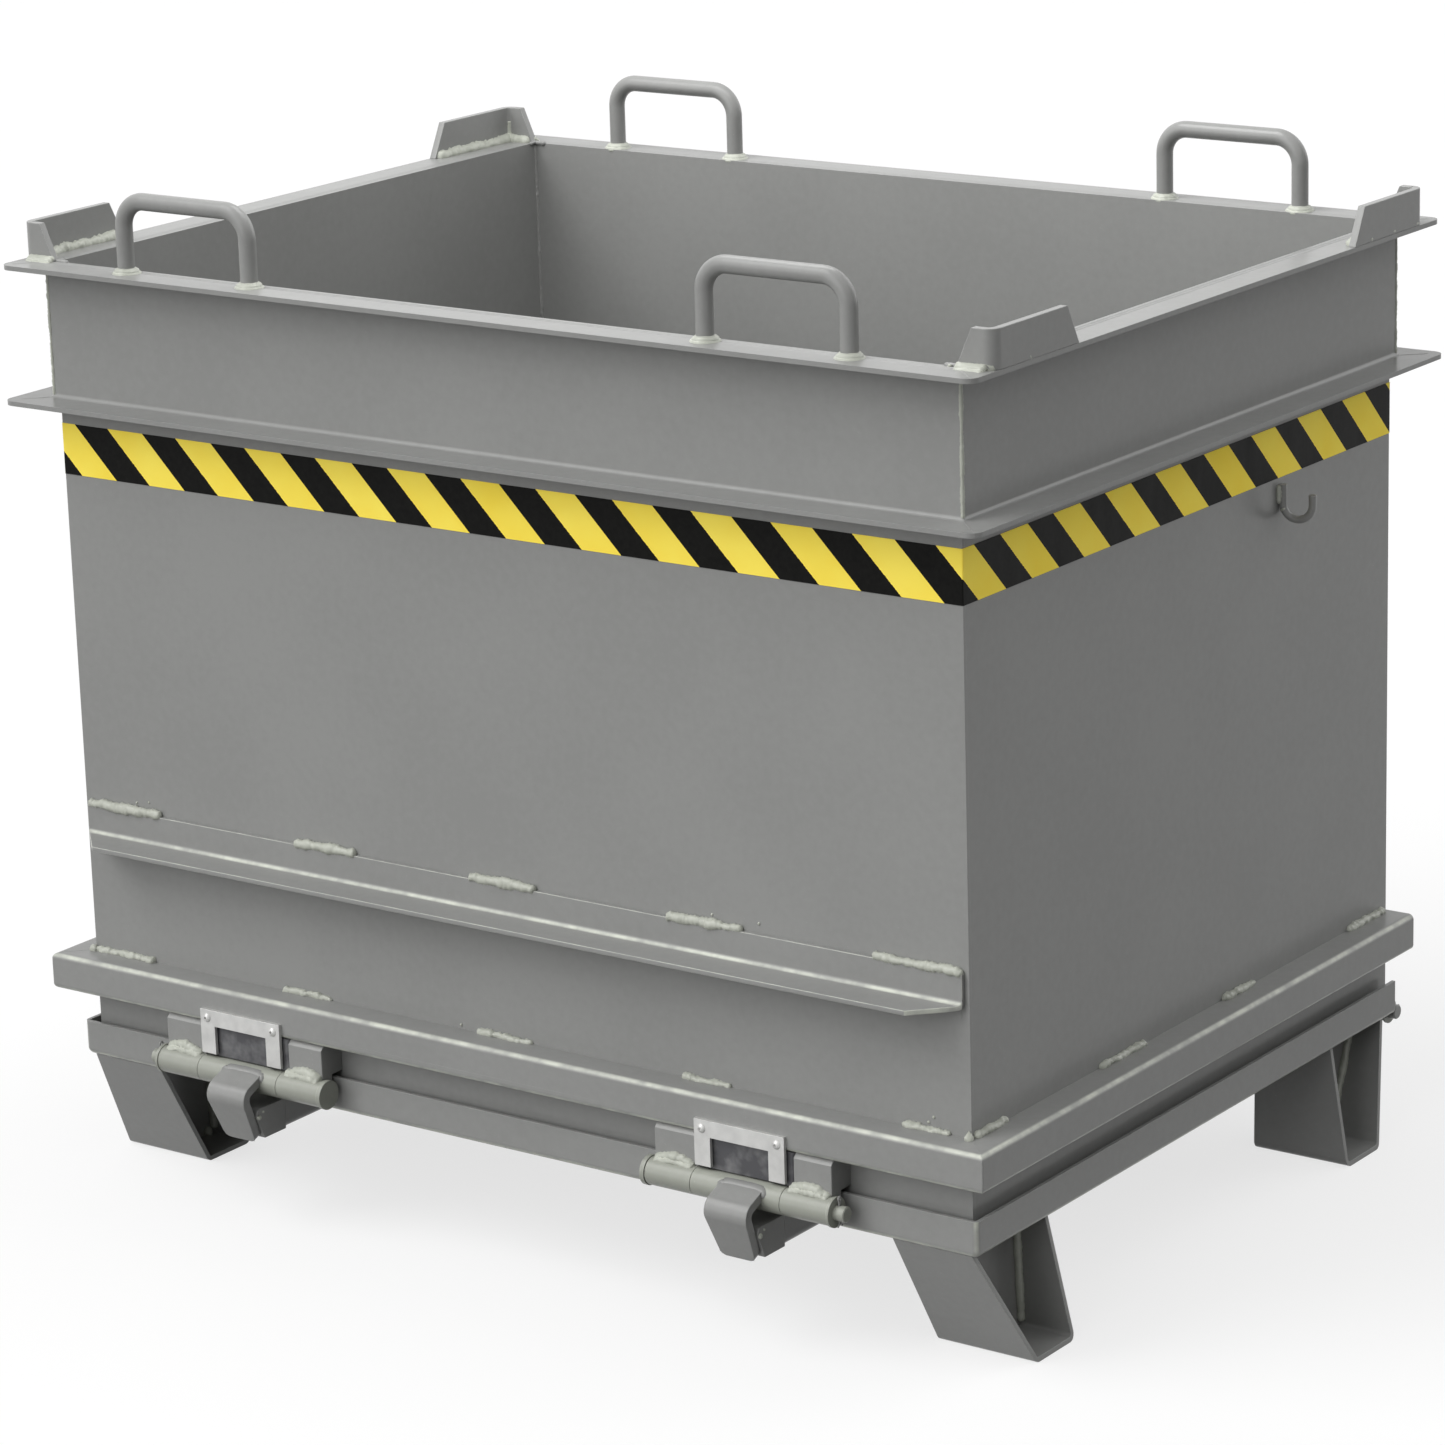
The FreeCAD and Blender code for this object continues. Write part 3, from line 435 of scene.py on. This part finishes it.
def tape_material(name, axis, forward, start):
    """Warning tape on one wall: leaning stripes, print grain, fine creases, and a painted glow in the
    print's own colour, strongest on the yellow.
    """
    edge_width, crease_height, ink_height = 0.3 * mm, 0.2 * mm, 0.02 * mm
    ragged_scale, fade_scale, ink_scale, crease_scale, upright_crease = 500.0, 14.0, 180.0, 60.0, 0.25
    raggedness = 0.004
    shader = Shader(name)
    soft = shader.softened(edge_width)
    parts = shader.add("ShaderNodeSeparateXYZ")
    shader.link(shader.place, parts.inputs["Vector"])
    along = shader.math("MULTIPLY_ADD", parts.outputs[axis], forward, start)
    leaning = shader.math("ADD", along, parts.outputs["Z"])
    stripe = shader.math("FRACT", shader.math("DIVIDE", leaning, stripe_pitch))
    ragged = shader.spread(shader.noise(ragged_scale), -raggedness, raggedness)
    black = shader.math("LESS_THAN", shader.math("ADD", stripe, ragged), black_share)
    yellow = shader.mix(shader.spread(shader.noise(fade_scale, 4.0)), yellow_deep, yellow_bright)
    ink = shader.mix(shader.noise(ink_scale, 3.0), ink_black, ink_worn)
    tone = shader.mix(black, yellow, ink)
    creases = shader.noise(crease_scale, 3.0, shader.stretched((1.0, 1.0, upright_crease)))
    roughness = shader.spread(creases, 0.38, 0.52)
    normal = shader.bump(creases, crease_height, 0.3, soft)
    normal = shader.bump(black, ink_height, 0.4, normal)
    # Painted light: the print glows in its own colour
    shader.put(shader.surface.inputs["Emission Color"], tone)
    return shader.finish(tone, roughness, normal, Specular_IOR_Level=0.05, Emission_Strength=tape_glow)


def make_floor():
    """Level ground that looks white behind the object and keeps its shadow."""
    mesh = bpy.data.meshes.new("floor")
    outline = [(x * floor_reach, y * floor_reach, 0) for x, y in ((-1, -1), (1, -1), (1, 1), (-1, 1))]
    mesh.from_pydata(outline, [], [(0, 1, 2, 3)])
    material = bpy.data.materials.new("pale_floor")
    tree = Tree(material, "ShaderNodeOutputMaterial")
    plain, pale = tree.add("ShaderNodeBsdfDiffuse"), tree.add("ShaderNodeBsdfDiffuse")
    tree.put(plain.inputs["Color"], 3 * (floor_bounce,))
    tree.put(pale.inputs["Color"], 3 * (floor_tone,))
    glow = tree.add("ShaderNodeEmission")
    white = tree.blend(floor_glow, pale.outputs[0], glow.outputs[0])
    tree.link(tree.blend(tree.shown(), plain.outputs[0], white), tree.output.inputs["Surface"])
    mesh.materials.append(material)
    floor = bpy.data.objects.new("floor", mesh)
    bpy.context.scene.collection.objects.link(floor)


def make_sky():
    """Sky that lights more from above and from the left, and looks plain white."""
    world = bpy.data.worlds.new("studio")
    bpy.context.scene.world = world
    tree = Tree(world, "ShaderNodeOutputWorld")
    parts = tree.add("ShaderNodeSeparateXYZ")
    tree.link(tree.add("ShaderNodeTexCoord").outputs["Generated"], parts.inputs["Vector"])
    light, white = tree.add("ShaderNodeBackground"), tree.add("ShaderNodeBackground")
    upward = tree.band(parts.outputs["Z"], 0.0, 1.0, sky_low, sky_high)
    sideways = tree.band(parts.outputs["X"], -1.0, 1.0, sky_left, sky_right)
    tree.link(tree.math("MULTIPLY", upward, sideways), light.inputs["Strength"])
    for background in (light, white):
        tree.put(background.inputs["Color"], (1.0, 1.0, 1.0))
    tree.link(tree.blend(tree.shown(), light.outputs[0], white.outputs[0]), tree.output.inputs["Surface"])


def dress(node_name, material):
    """Puts a material on a CAD node, and soft edges where it is a compact piece."""
    piece = nodes[node_name]
    if not piece.material_slots:
        piece.data.materials.append(material)
    for slot in piece.material_slots:
        slot.link = "OBJECT"
        slot.material = material
    if not node_name.startswith(rounded_nodes):
        return
    joined = piece.modifiers.new("joined", "WELD")
    joined.merge_threshold = join_gap
    rounded = piece.modifiers.new("rounded", "BEVEL")
    rounded.width = edge_round
    rounded.segments = 2
    rounded.limit_method = "ANGLE"
    rounded.angle_limit = edge_angle
    rounded.use_clamp_overlap = False
    piece.modifiers.new("shading", "WEIGHTED_NORMAL")


def dress_nodes():
    """Every CAD node gets its material."""
    for node_name in nodes:
        if node_name in tape_runs:
            dress(node_name, tape_material(node_name + "_print", *tape_runs[node_name]))
        elif node_name.startswith("rubber_buffer"):
            dress(node_name, rubber)
        elif node_name.startswith(("buffer_plate", "buffer_screws")):
            dress(node_name, zinc)
        elif node_name.startswith("collar") or node_name.endswith("_wall"):
            dress(node_name, sheet_enamel)
        # Base channel, rail and tray: enamel with a painted highlight along the bends
        elif node_name.startswith(("base_channel", "front_rail", "tray")):
            dress(node_name, enamel_with_bend_highlight)
        # Barrels, pins and washers take the lighter enamel with its painted highlight
        elif "_barrel" in node_name or node_name.startswith(("latch_pin", "washers")):
            dress(node_name, highlit_turned_enamel)
        else:
            dress(node_name, enamel)


def resampled(points, step):
    """Points at even steps along a line of points."""
    spots = [points[0].copy()]
    for start, end in zip(points, points[1:]):
        count = max(1, round((end - start).length / step))
        spots += [start.lerp(end, (i + 1) / count) for i in range(count)]
    return spots


def turns(count):
    """Even turns round a full circle."""
    return [2 * math.pi * k / count for k in range(count)]


def add_skin(faces, first, rings, sides, closed=False):
    """Adds the faces between rings of points, and from the last ring to the first of a closed bead."""
    for i in range(rings if closed else rings - 1):
        here, there = first + i * sides, first + (i + 1) % rings * sides
        for k in range(sides):
            beside = (k + 1) % sides
            faces.append((here + k, there + k, there + beside, here + beside))


def add_ends(faces, first, rings, sides):
    """Adds the two end faces of an open bead or wire."""
    last = first + (rings - 1) * sides
    faces.append(tuple(first + k for k in range(sides)))
    faces.append(tuple(last + k for k in reversed(range(sides))))


def bead_reach(travel, around, place, radius, coarse):
    """Radius of a bead: crescent ripples, swellings and lumps, as strong as coarse says."""
    ripple = ((travel + ripple_bow * radius * math.cos(around)) / ripple_pitch) % 1.0
    fine_lump = noise.noise(place * lump_scale * fine_lump_ratio)
    lump = noise.noise(place * lump_scale) + fine_lump_share * fine_lump
    swell = noise.noise(place * swell_scale)
    change = coarse * (ripple_share * (ripple - 0.5) + lump_share * lump + swell_share * swell)
    return radius * max(1 + change, thinnest)


def add_bead(points, faces, path, radius, coarse, closed=False):
    """Adds one bead along a path, with round ends, to lists of points and faces."""
    spots = resampled(path, bead_step)
    if closed:
        spots = spots[:-1]
    count = len(spots)
    length = count * bead_step
    first = len(points)
    for i, spot in enumerate(spots):
        before = spots[i - 1] if closed or i else spots[0]
        after = spots[(i + 1) % count] if closed or i < count - 1 else spots[-1]
        tangent = (after - before).normalized()
        side = tangent.cross(off_direction).normalized()
        other = tangent.cross(side)
        travel = i * length / max(count - 1, 1)
        from_end = 1.0 if closed else min(travel, length - travel) / (taper_share * radius)
        from_end = min(max(from_end, blunt_tip), 1.0)
        share = math.sqrt(from_end * (2 - from_end))
        for around in turns(bead_sides):
            outward = side * math.cos(around) + other * math.sin(around)
            reach = bead_reach(travel, around, spot + outward * radius, radius, coarse)
            points.append(spot + outward * reach * share)
    add_skin(faces, first, count, bead_sides, closed)
    if not closed:
        add_ends(faces, first, count, bead_sides)


def make_piece(name, body, points, faces, material):
    """Mesh piece in the row frame that rides on a body and takes the enamel's slot."""
    mesh = bpy.data.meshes.new(name)
    mesh.from_pydata([tuple(point) for point in points], [], faces)
    mesh.validate()
    mesh.shade_smooth()
    mesh.materials.append(material)
    piece = bpy.data.objects.new(name, mesh)
    bpy.context.scene.collection.objects.link(piece)
    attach(piece, body)
    return piece


def weld(name, body, runs, coarse=1.0, closed=False, pale=True):
    """One piece of several beads; a run is a path and a radius."""
    points, faces = [], []
    for path, radius in runs:
        add_bead(points, faces, [Vector(point) for point in path], radius, coarse, closed)
    # pale beads take the lighter enamel, which paints the highlights of their facets into the colour
    make_piece(name, body, points, faces, highlit_weld_enamel if pale else enamel)


def drops(name, body, places):
    """One piece of several drops of weld metal; a place is a point and a radius."""
    points, faces = [], []
    for place, radius in places:
        first = len(points)
        for i in range(drop_rings + 1):
            tilt = math.pi * i / drop_rings
            for around in turns(drop_sides):
                outward = Vector((math.sin(tilt) * math.cos(around), math.sin(tilt) * math.sin(around),
                                  math.cos(tilt)))
                lump = 1 + lump_share * noise.noise((Vector(place) + outward * radius) * lump_scale)
                points.append(Vector(place) + outward * radius * lump)
        add_skin(faces, first, drop_rings + 1, drop_sides)
    # Drops take the lighter enamel with the painted highlight
    make_piece(name, body, points, faces, highlit_weld_enamel)


def weld_rail():
    """Stitches between the rail's upper edge and the front wall."""
    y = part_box("front_wall")[0].y - stitch_radius / 2
    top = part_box("front_rail")[1].z + stitch_radius / 4
    weld("weld_rail", "hopper", [([(start * mm, y, top), (end * mm, y, top)], stitch_radius)
                                 for start, end in rail_stitches])


def weld_base_channel():
    """Stitches between the walls and the base channel's top, and a short bead at each front corner."""
    wall_low, wall_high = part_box("front_wall")
    radius = 0.85 * stitch_radius
    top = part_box("base_channel_front")[1].z + radius / 4
    front_y, corner_y = wall_low.y - radius / 4, wall_low.y - radius
    runs = [([(start * mm, front_y, top), (end * mm, front_y, top)], radius)
            for start, end in front_stitches]
    for side in (-1, 1):
        x = side * (wall_high.x + radius / 4)
        runs += [([(x, start * mm, top), (x, end * mm, top)], radius) for start, end in side_stitches]
        runs.append(([(side * (wall_high.x - stitch_radius), corner_y, top),
                      (side * (wall_high.x + radius), corner_y, top)], stitch_radius))
    weld("weld_base_channel", "hopper", runs, coarse=1.5)


def weld_base_mitres():
    """Flat seams on top and at the edge of the base channel's two front corners."""
    wall_low, wall_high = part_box("front_wall")
    low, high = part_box("base_channel_front")
    bend, sunk = 3 * seam_radius, 0.9 * seam_radius
    flat = high.z - 0.8 * seam_radius
    runs = []
    for side in (-1, 1):
        edge_x, edge_y = side * (high.x - sunk), low.y + sunk
        runs.append(([(side * wall_high.x, wall_low.y, flat), (side * (high.x - bend), low.y + bend, flat)],
                     seam_radius))
        runs.append(([(edge_x, edge_y, high.z - bend), (edge_x, edge_y, low.z + bend)], seam_radius))
    weld("weld_base_mitres", "hopper", runs, coarse=0.3, pale=False)


def ring(middle, radius):
    """Closed circle of points in plan."""
    return [middle + Vector((math.cos(turn), math.sin(turn), 0)) * radius
            for turn in turns(ring_steps) + [2 * math.pi]]


def weld_bows():
    """Broad fillet round the foot of every bow leg."""
    runs = []
    for corner in corners:
        low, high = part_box("lifting_bow_" + corner)
        bar = (high.y - low.y) / 2
        for x in (low.x + bar, high.x - bar):
            for rise, spread, share in bow_fillet:
                middle = Vector((x, (low.y + high.y) / 2, low.z + rise * fillet_radius))
                runs.append((ring(middle, bar + spread * fillet_radius), share * fillet_radius))
    weld("weld_bows", "hopper", runs, coarse=0.45, closed=True)


def weld_stacking_angles():
    """Rippled beads inside each stacking angle and a broad one before its short leg."""
    runs, puddles = [], []
    for corner, (side_x, side_y) in corners.items():
        low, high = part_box("stacking_angle_" + corner)
        out_x = high.x if side_x > 0 else low.x
        out_y = high.y if side_y > 0 else low.y
        short_end = out_x - side_x * (high.x - low.x)
        long_end = out_y - side_y * (high.y - low.y)
        inner_x, inner_y = out_x - side_x * stack_sheet, out_y - side_y * stack_sheet
        z = low.z + fillet_radius / 4
        runs.append(([(short_end + side_x * stack_sheet / 2, inner_y, z), (inner_x, inner_y, z),
                      (inner_x, long_end + side_y * stack_sheet / 2, z)], 1.5 * fillet_radius))
        upright = [(inner_x, inner_y, z), (inner_x, inner_y, z + 5 * fillet_radius)]
        runs.append((upright, 0.7 * fillet_radius))
        for rise, spread, share in angle_puddle:
            front, height = out_y + side_y * spread * fillet_radius, low.z + rise * fillet_radius
            puddles.append(([(short_end, front, height), (inner_x, front, height)], share * fillet_radius))
    weld("weld_stacking_angles", "hopper", runs, coarse=0.8)
    weld("weld_stacking_puddles", "hopper", puddles, coarse=0.4)


def weld_rim():
    """Ground seam all round between the walls' upper edges and the collar."""
    wall_low, wall_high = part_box("front_wall")
    rear_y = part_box("rear_wall")[1].y
    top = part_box("collar_front")[1].z
    runs = []
    for sunk, spread, share in rim_seam:
        out, z = spread * collar_sheet, top - sunk * collar_sheet
        right, front, rear = wall_high.x + out, wall_low.y - out, rear_y + out
        runs.append(([(-right, front, z), (right, front, z), (right, rear, z), (-right, rear, z),
                      (-right, front, z)], share * collar_sheet))
    weld("weld_rim", "hopper", runs, coarse=0.08, closed=True, pale=False)


def weld_collar():
    """Seams at the collar's corners: outside, inside with a bead at the rim, and on the mitres."""
    wall_low, wall_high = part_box("front_wall")
    rear_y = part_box("rear_wall")[1].y
    low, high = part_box("collar_front")
    wall_sheet = wall_high.y - wall_low.y
    mitre = 0.6 * (wall_low.y - low.y)
    proud, sunk, clear = collar_sheet - seam_radius / 2, 0.8 * seam_radius, 1.3 * collar_sheet
    outer, inner, mitres = [], [], []
    for side_x, side_y in corners.values():
        wall_y = wall_low.y if side_y < 0 else rear_y
        x, y = side_x * (wall_high.x + proud), wall_y + side_y * proud
        outer.append(([(x, y, low.z + clear), (x, y, high.z - clear)], 1.2 * seam_radius))
        for z in (high.z - sunk, low.z + collar_sheet - sunk):
            mitres.append(([(x, y, z), (x + side_x * mitre, y + side_y * mitre, z)], seam_radius))
        in_x, in_y = side_x * (wall_high.x - wall_sheet), wall_y - side_y * wall_sheet
        inner.append(([(in_x, in_y, high.z - seam_radius), (in_x, in_y, wall_low.z + 2 * collar_sheet)],
                      1.5 * seam_radius))
        inner.append(([(in_x - side_x * 3 * collar_sheet, in_y, high.z), (in_x, in_y, high.z),
                       (in_x, in_y - side_y * 2 * collar_sheet, high.z)], 1.7 * seam_radius))
    weld("weld_collar", "hopper", outer, coarse=0.8)
    weld("weld_inside", "hopper", inner, coarse=0.8, pale=False)
    weld("weld_mitres", "hopper", mitres, coarse=0.3, pale=False)


def weld_chain_hook():
    """Short beads down both sides of the hook's back leg and one at its bend."""
    low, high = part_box("chain_hook")
    wall_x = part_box("right_wall")[1].x
    rod = chain_hook_rod
    y, radius = low.y + rod, 0.8 * rod
    runs = [([(wall_x + rod / 3, y + side * rod, high.z - 5 * rod),
              (wall_x + rod / 3, y + side * rod, high.z)], radius) for side in (-1, 1)]
    runs.append(([(wall_x + rod, y - rod / 2, low.z + 4 * rod),
                  (wall_x + 1.5 * rod, y - rod / 2, low.z + 3 * rod)], radius))
    weld("weld_chain_hook", "hopper", runs)


def arched(start, end, rise):
    """Points on an upright arch between two points."""
    shares = [i / arch_steps for i in range(arch_steps + 1)]
    return [start.lerp(end, share) + Vector((0, 0, rise * math.sin(math.pi * share))) for share in shares]


def latch_axis(name):
    """Place of a latch's pin along Y and Z, and the radius of its barrels."""
    low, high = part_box("latch_barrels_" + name)
    return (low.y + high.y) / 2, (low.z + high.z) / 2, (high.z - low.z) / 2


def weld_blocks(name):
    """Two lumpy beads from each mounting block of a latch to its outer barrel."""
    low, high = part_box("latch_barrels_" + name)
    middle_low, middle_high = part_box("hook_barrel_" + name)
    z, radius = latch_axis(name)[1:]
    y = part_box("latch_blocks_" + name)[0].y
    height, inset = z + 0.85 * radius, 0.3 * radius
    out = Vector((0, -0.8, -0.1)) * fillet_radius
    runs = []
    for start, end in ((low.x + inset, middle_low.x - inset), (middle_high.x + inset, high.x - inset)):
        left, right = Vector((start, y, height)), Vector((end, y, height))
        runs.append((arched(left, right, 0.45 * radius), 1.35 * fillet_radius))
        runs.append((arched(left + out, right + out, 0.2 * radius), 0.9 * fillet_radius))
    weld("weld_blocks_" + name, "hopper", runs, coarse=0.9)


def weld_claw(name):
    """Bead round the claw's root on the middle barrel, nearly flush where it swings under the rubber."""
    low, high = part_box("hook_claw_" + name)
    y, z, radius = latch_axis(name)
    middle_x, half = (low.x + high.x) / 2, (high.x - low.x) / 2
    reach, flush = radius - 0.75 * fillet_radius, radius + claw_weld_proud
    path = []
    for i in range(claw_weld_steps + 1):
        half_turn = math.pi * i / claw_weld_steps
        across = -math.cos(half_turn)
        turn = claw_weld_start + claw_weld_sweep * math.sqrt(math.sin(half_turn))
        path.append(Vector((middle_x + math.copysign(math.sqrt(abs(across)), across) * half,
                            y - reach * math.cos(turn), z + reach * math.sin(turn))))
    points, faces = [], []
    add_bead(points, faces, path, 1.25 * fillet_radius, coarse=0.2)
    for point in points:
        out = Vector((0, y - point.y, point.z - z))
        if math.atan2(out.z, out.y) > claw_weld_limit and out.length > flush:
            out *= flush / out.length
            point.y, point.z = y - out.y, z + out.z
    make_piece("weld_claw_" + name, "hook_" + name, points, faces, enamel)


def drop_on_keeper(name):
    """Two drops of weld metal on a keeper's right side."""
    low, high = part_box("keeper_" + name)
    drops("weld_drops_keeper_" + name, "flap",
          [((high.x, low.y + 2.2 * drop_radius, high.z - 6 * drop_radius), 2 * drop_radius),
           ((high.x, low.y + 7 * drop_radius, high.z - 3 * drop_radius), drop_radius)])


def rib_lines(rib_name, side):
    """The two lines where a rib meets the legs of its foot, on the side named by its sign."""
    places = [vertex.co for vertex in nodes[rib_name].data.vertices]
    x = side * max(side * place.x for place in places)
    face = [place for place in places if abs(place.x - x) < join_gap]
    top, bottom = max(place.z for place in face), min(place.z for place in face)
    upper = [place for place in face if top - place.z < rib_top_slack]
    lower = [place for place in face if place.z - bottom < rib_foot_slack]
    return [(pick(upper, key=lambda place: place.y), pick(lower, key=lambda place: place.y))
            for pick in (min, max)]


def weld_feet():
    """Beads down both sides of every rib, and stitches along the runners under the tray."""
    runs = []
    for corner in corners:
        for side in (-1, 1):
            for inward, (start, end) in zip((1, -1), rib_lines("foot_rib_" + corner, side)):
                out = Vector((side, inward, 0)) * fillet_radius / 2
                runs.append(([start + out, end + out], fillet_radius))
    floor_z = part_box("tray")[0].z
    for name in ("left", "right"):
        low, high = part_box("runner_" + name)
        length = high.y - low.y
        for x in (low.x, high.x):
            for share in runner_stitches:
                start = low.y + length * share
                end = start + length * runner_stitch_length
                runs.append(([(x, start, floor_z), (x, end, floor_z)], 0.7 * fillet_radius))
    weld("weld_feet", "flap", runs, coarse=0.5)


def drop_on_foot():
    """A drop of weld metal at the foot of the front left rib."""
    low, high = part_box("foot_rib_front_left")
    place = (high.x + drop_radius, high.y - 8 * drop_radius, low.z + 2 * drop_radius)
    drops("weld_drop_foot", "flap", [(place, 3.5 * drop_radius)])


def weld_hinge():
    """Beads round the hinge leaves on the rear wall."""
    low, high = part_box("hinge_knuckles_body")
    length, inset = hinge_leaf_length, seam_radius / 2
    y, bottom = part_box("rear_wall")[1].y + inset, high.z - length / 2
    runs = []
    for start in (low.x, -length / 2, high.x - length):
        left, right = start + inset, start + length - inset
        runs.append(([(left, y, bottom), (left, y, high.z), (right, y, high.z), (right, y, bottom)],
                     0.6 * fillet_radius))
    weld("weld_hinge", "hopper", runs)


def drop_on_body():
    """Single drops beside the stacking angle and on the front wall."""
    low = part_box("stacking_angle_front_right")[0]
    wall_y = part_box("front_wall")[0].y
    places = [((low.x - 5 * drop_radius, low.y + drop_radius, low.z), 1.6 * drop_radius),
              ((low.x - 10 * drop_radius, low.y + 6 * drop_radius, low.z), drop_radius)]
    places += [((x * mm, wall_y, z * mm), drop_radius) for x, z in wall_drops]
    drops("weld_drops_body", "hopper", places)


def split_pin_path(middle, along, apart):
    """Centre line of a split pin: bent tip, leg, round eye, leg, bent tip."""
    half, wire = split_pin_length / 2, split_pin_wire
    straight = half - 2 * wire
    legs = [[middle + along * rise + apart * side * out
             for rise, out in ((-half, 4 * wire), (-straight, wire), (straight, wire))] for side in (1, -1)]
    eye_middle = middle + along * (half + split_pin_eye / 2)
    eye = []
    for i in range(eye_steps + 1):
        turn = eye_start + eye_sweep * i / eye_steps
        eye.append(eye_middle + (apart * math.cos(turn) + along * math.sin(turn)) * 0.8 * split_pin_eye)
    return legs[0] + eye + legs[1][::-1]


def add_wire(points, faces, path, radius):
    """Adds a round wire along a path to lists of points and faces."""
    first = len(points)
    side = (path[1] - path[0]).orthogonal().normalized()
    for i, here in enumerate(path):
        tangent = (path[min(i + 1, len(path) - 1)] - path[max(i - 1, 0)]).normalized()
        side = (side - tangent * side.dot(tangent)).normalized()
        other = tangent.cross(side)
        points += [here + (side * math.cos(around) + other * math.sin(around)) * radius
                   for around in turns(wire_sides)]
    add_skin(faces, first, len(path), wire_sides)
    add_ends(faces, first, len(path), wire_sides)


def make_split_pins():
    """Split pins with an eye and spread legs, in place of the plain bars."""
    upright, outward = Vector((0, 0, 1)), Vector((0, 1, 0))
    pins = []
    for name in ("left", "right"):
        low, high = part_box("latch_pin_" + name)
        x = high.x - pin_end_length if name == "right" else low.x + pin_end_length
        pins.append((x, low, high, upright, outward))
    low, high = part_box("hinge_rod")
    pins += [(x, low, high, outward, upright) for x in (low.x + rod_end_length, high.x - rod_end_length)]
    points, faces = [], []
    for x, low, high, along, apart in pins:
        middle = Vector((x, (low.y + high.y) / 2, (low.z + high.z) / 2))
        add_wire(points, faces, split_pin_path(middle, along, apart), split_pin_wire)
    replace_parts(make_piece("split_pins", "hopper", points, faces, enamel), "cotters")


enamel = enamel_material("grey_enamel", grey, enamel_edge)
sheet_enamel = enamel_material("grey_enamel_on_sheet", grey, sheet_edge)
# Folded pieces: a painted highlight along their bends
enamel_with_bend_highlight = enamel_material("grey_enamel_with_painted_bend_highlight", grey, enamel_edge, bend_highlight=True)
# Barrels, pins and washers: a lighter, yellowish copy of the enamel, a painted highlight
highlit_turned_enamel = enamel_material("grey_enamel_painted_lighter_on_turned_steel", highlight_grey, enamel_edge)
# Weld beads: the lighter copy made lighter still, a painted highlight for their facets
highlit_weld_enamel = enamel_material("grey_enamel_painted_lighter_on_weld", toned(highlight_grey, weld_highlight_gain), enamel_edge, lumpy=0.4)
zinc = zinc_material()
rubber = rubber_material()

make_camera()
make_lamps()
make_floor()
make_sky()
dress_nodes()
weld_rail()
weld_base_channel()
weld_base_mitres()
weld_bows()
weld_stacking_angles()
weld_rim()
weld_collar()
weld_chain_hook()
for latch in ("left", "right"):
    weld_blocks(latch)
    weld_claw(latch)
    drop_on_keeper(latch)
weld_feet()
drop_on_foot()
weld_hinge()
drop_on_body()
make_split_pins()

bpy.context.scene.view_settings.view_transform = "Standard"
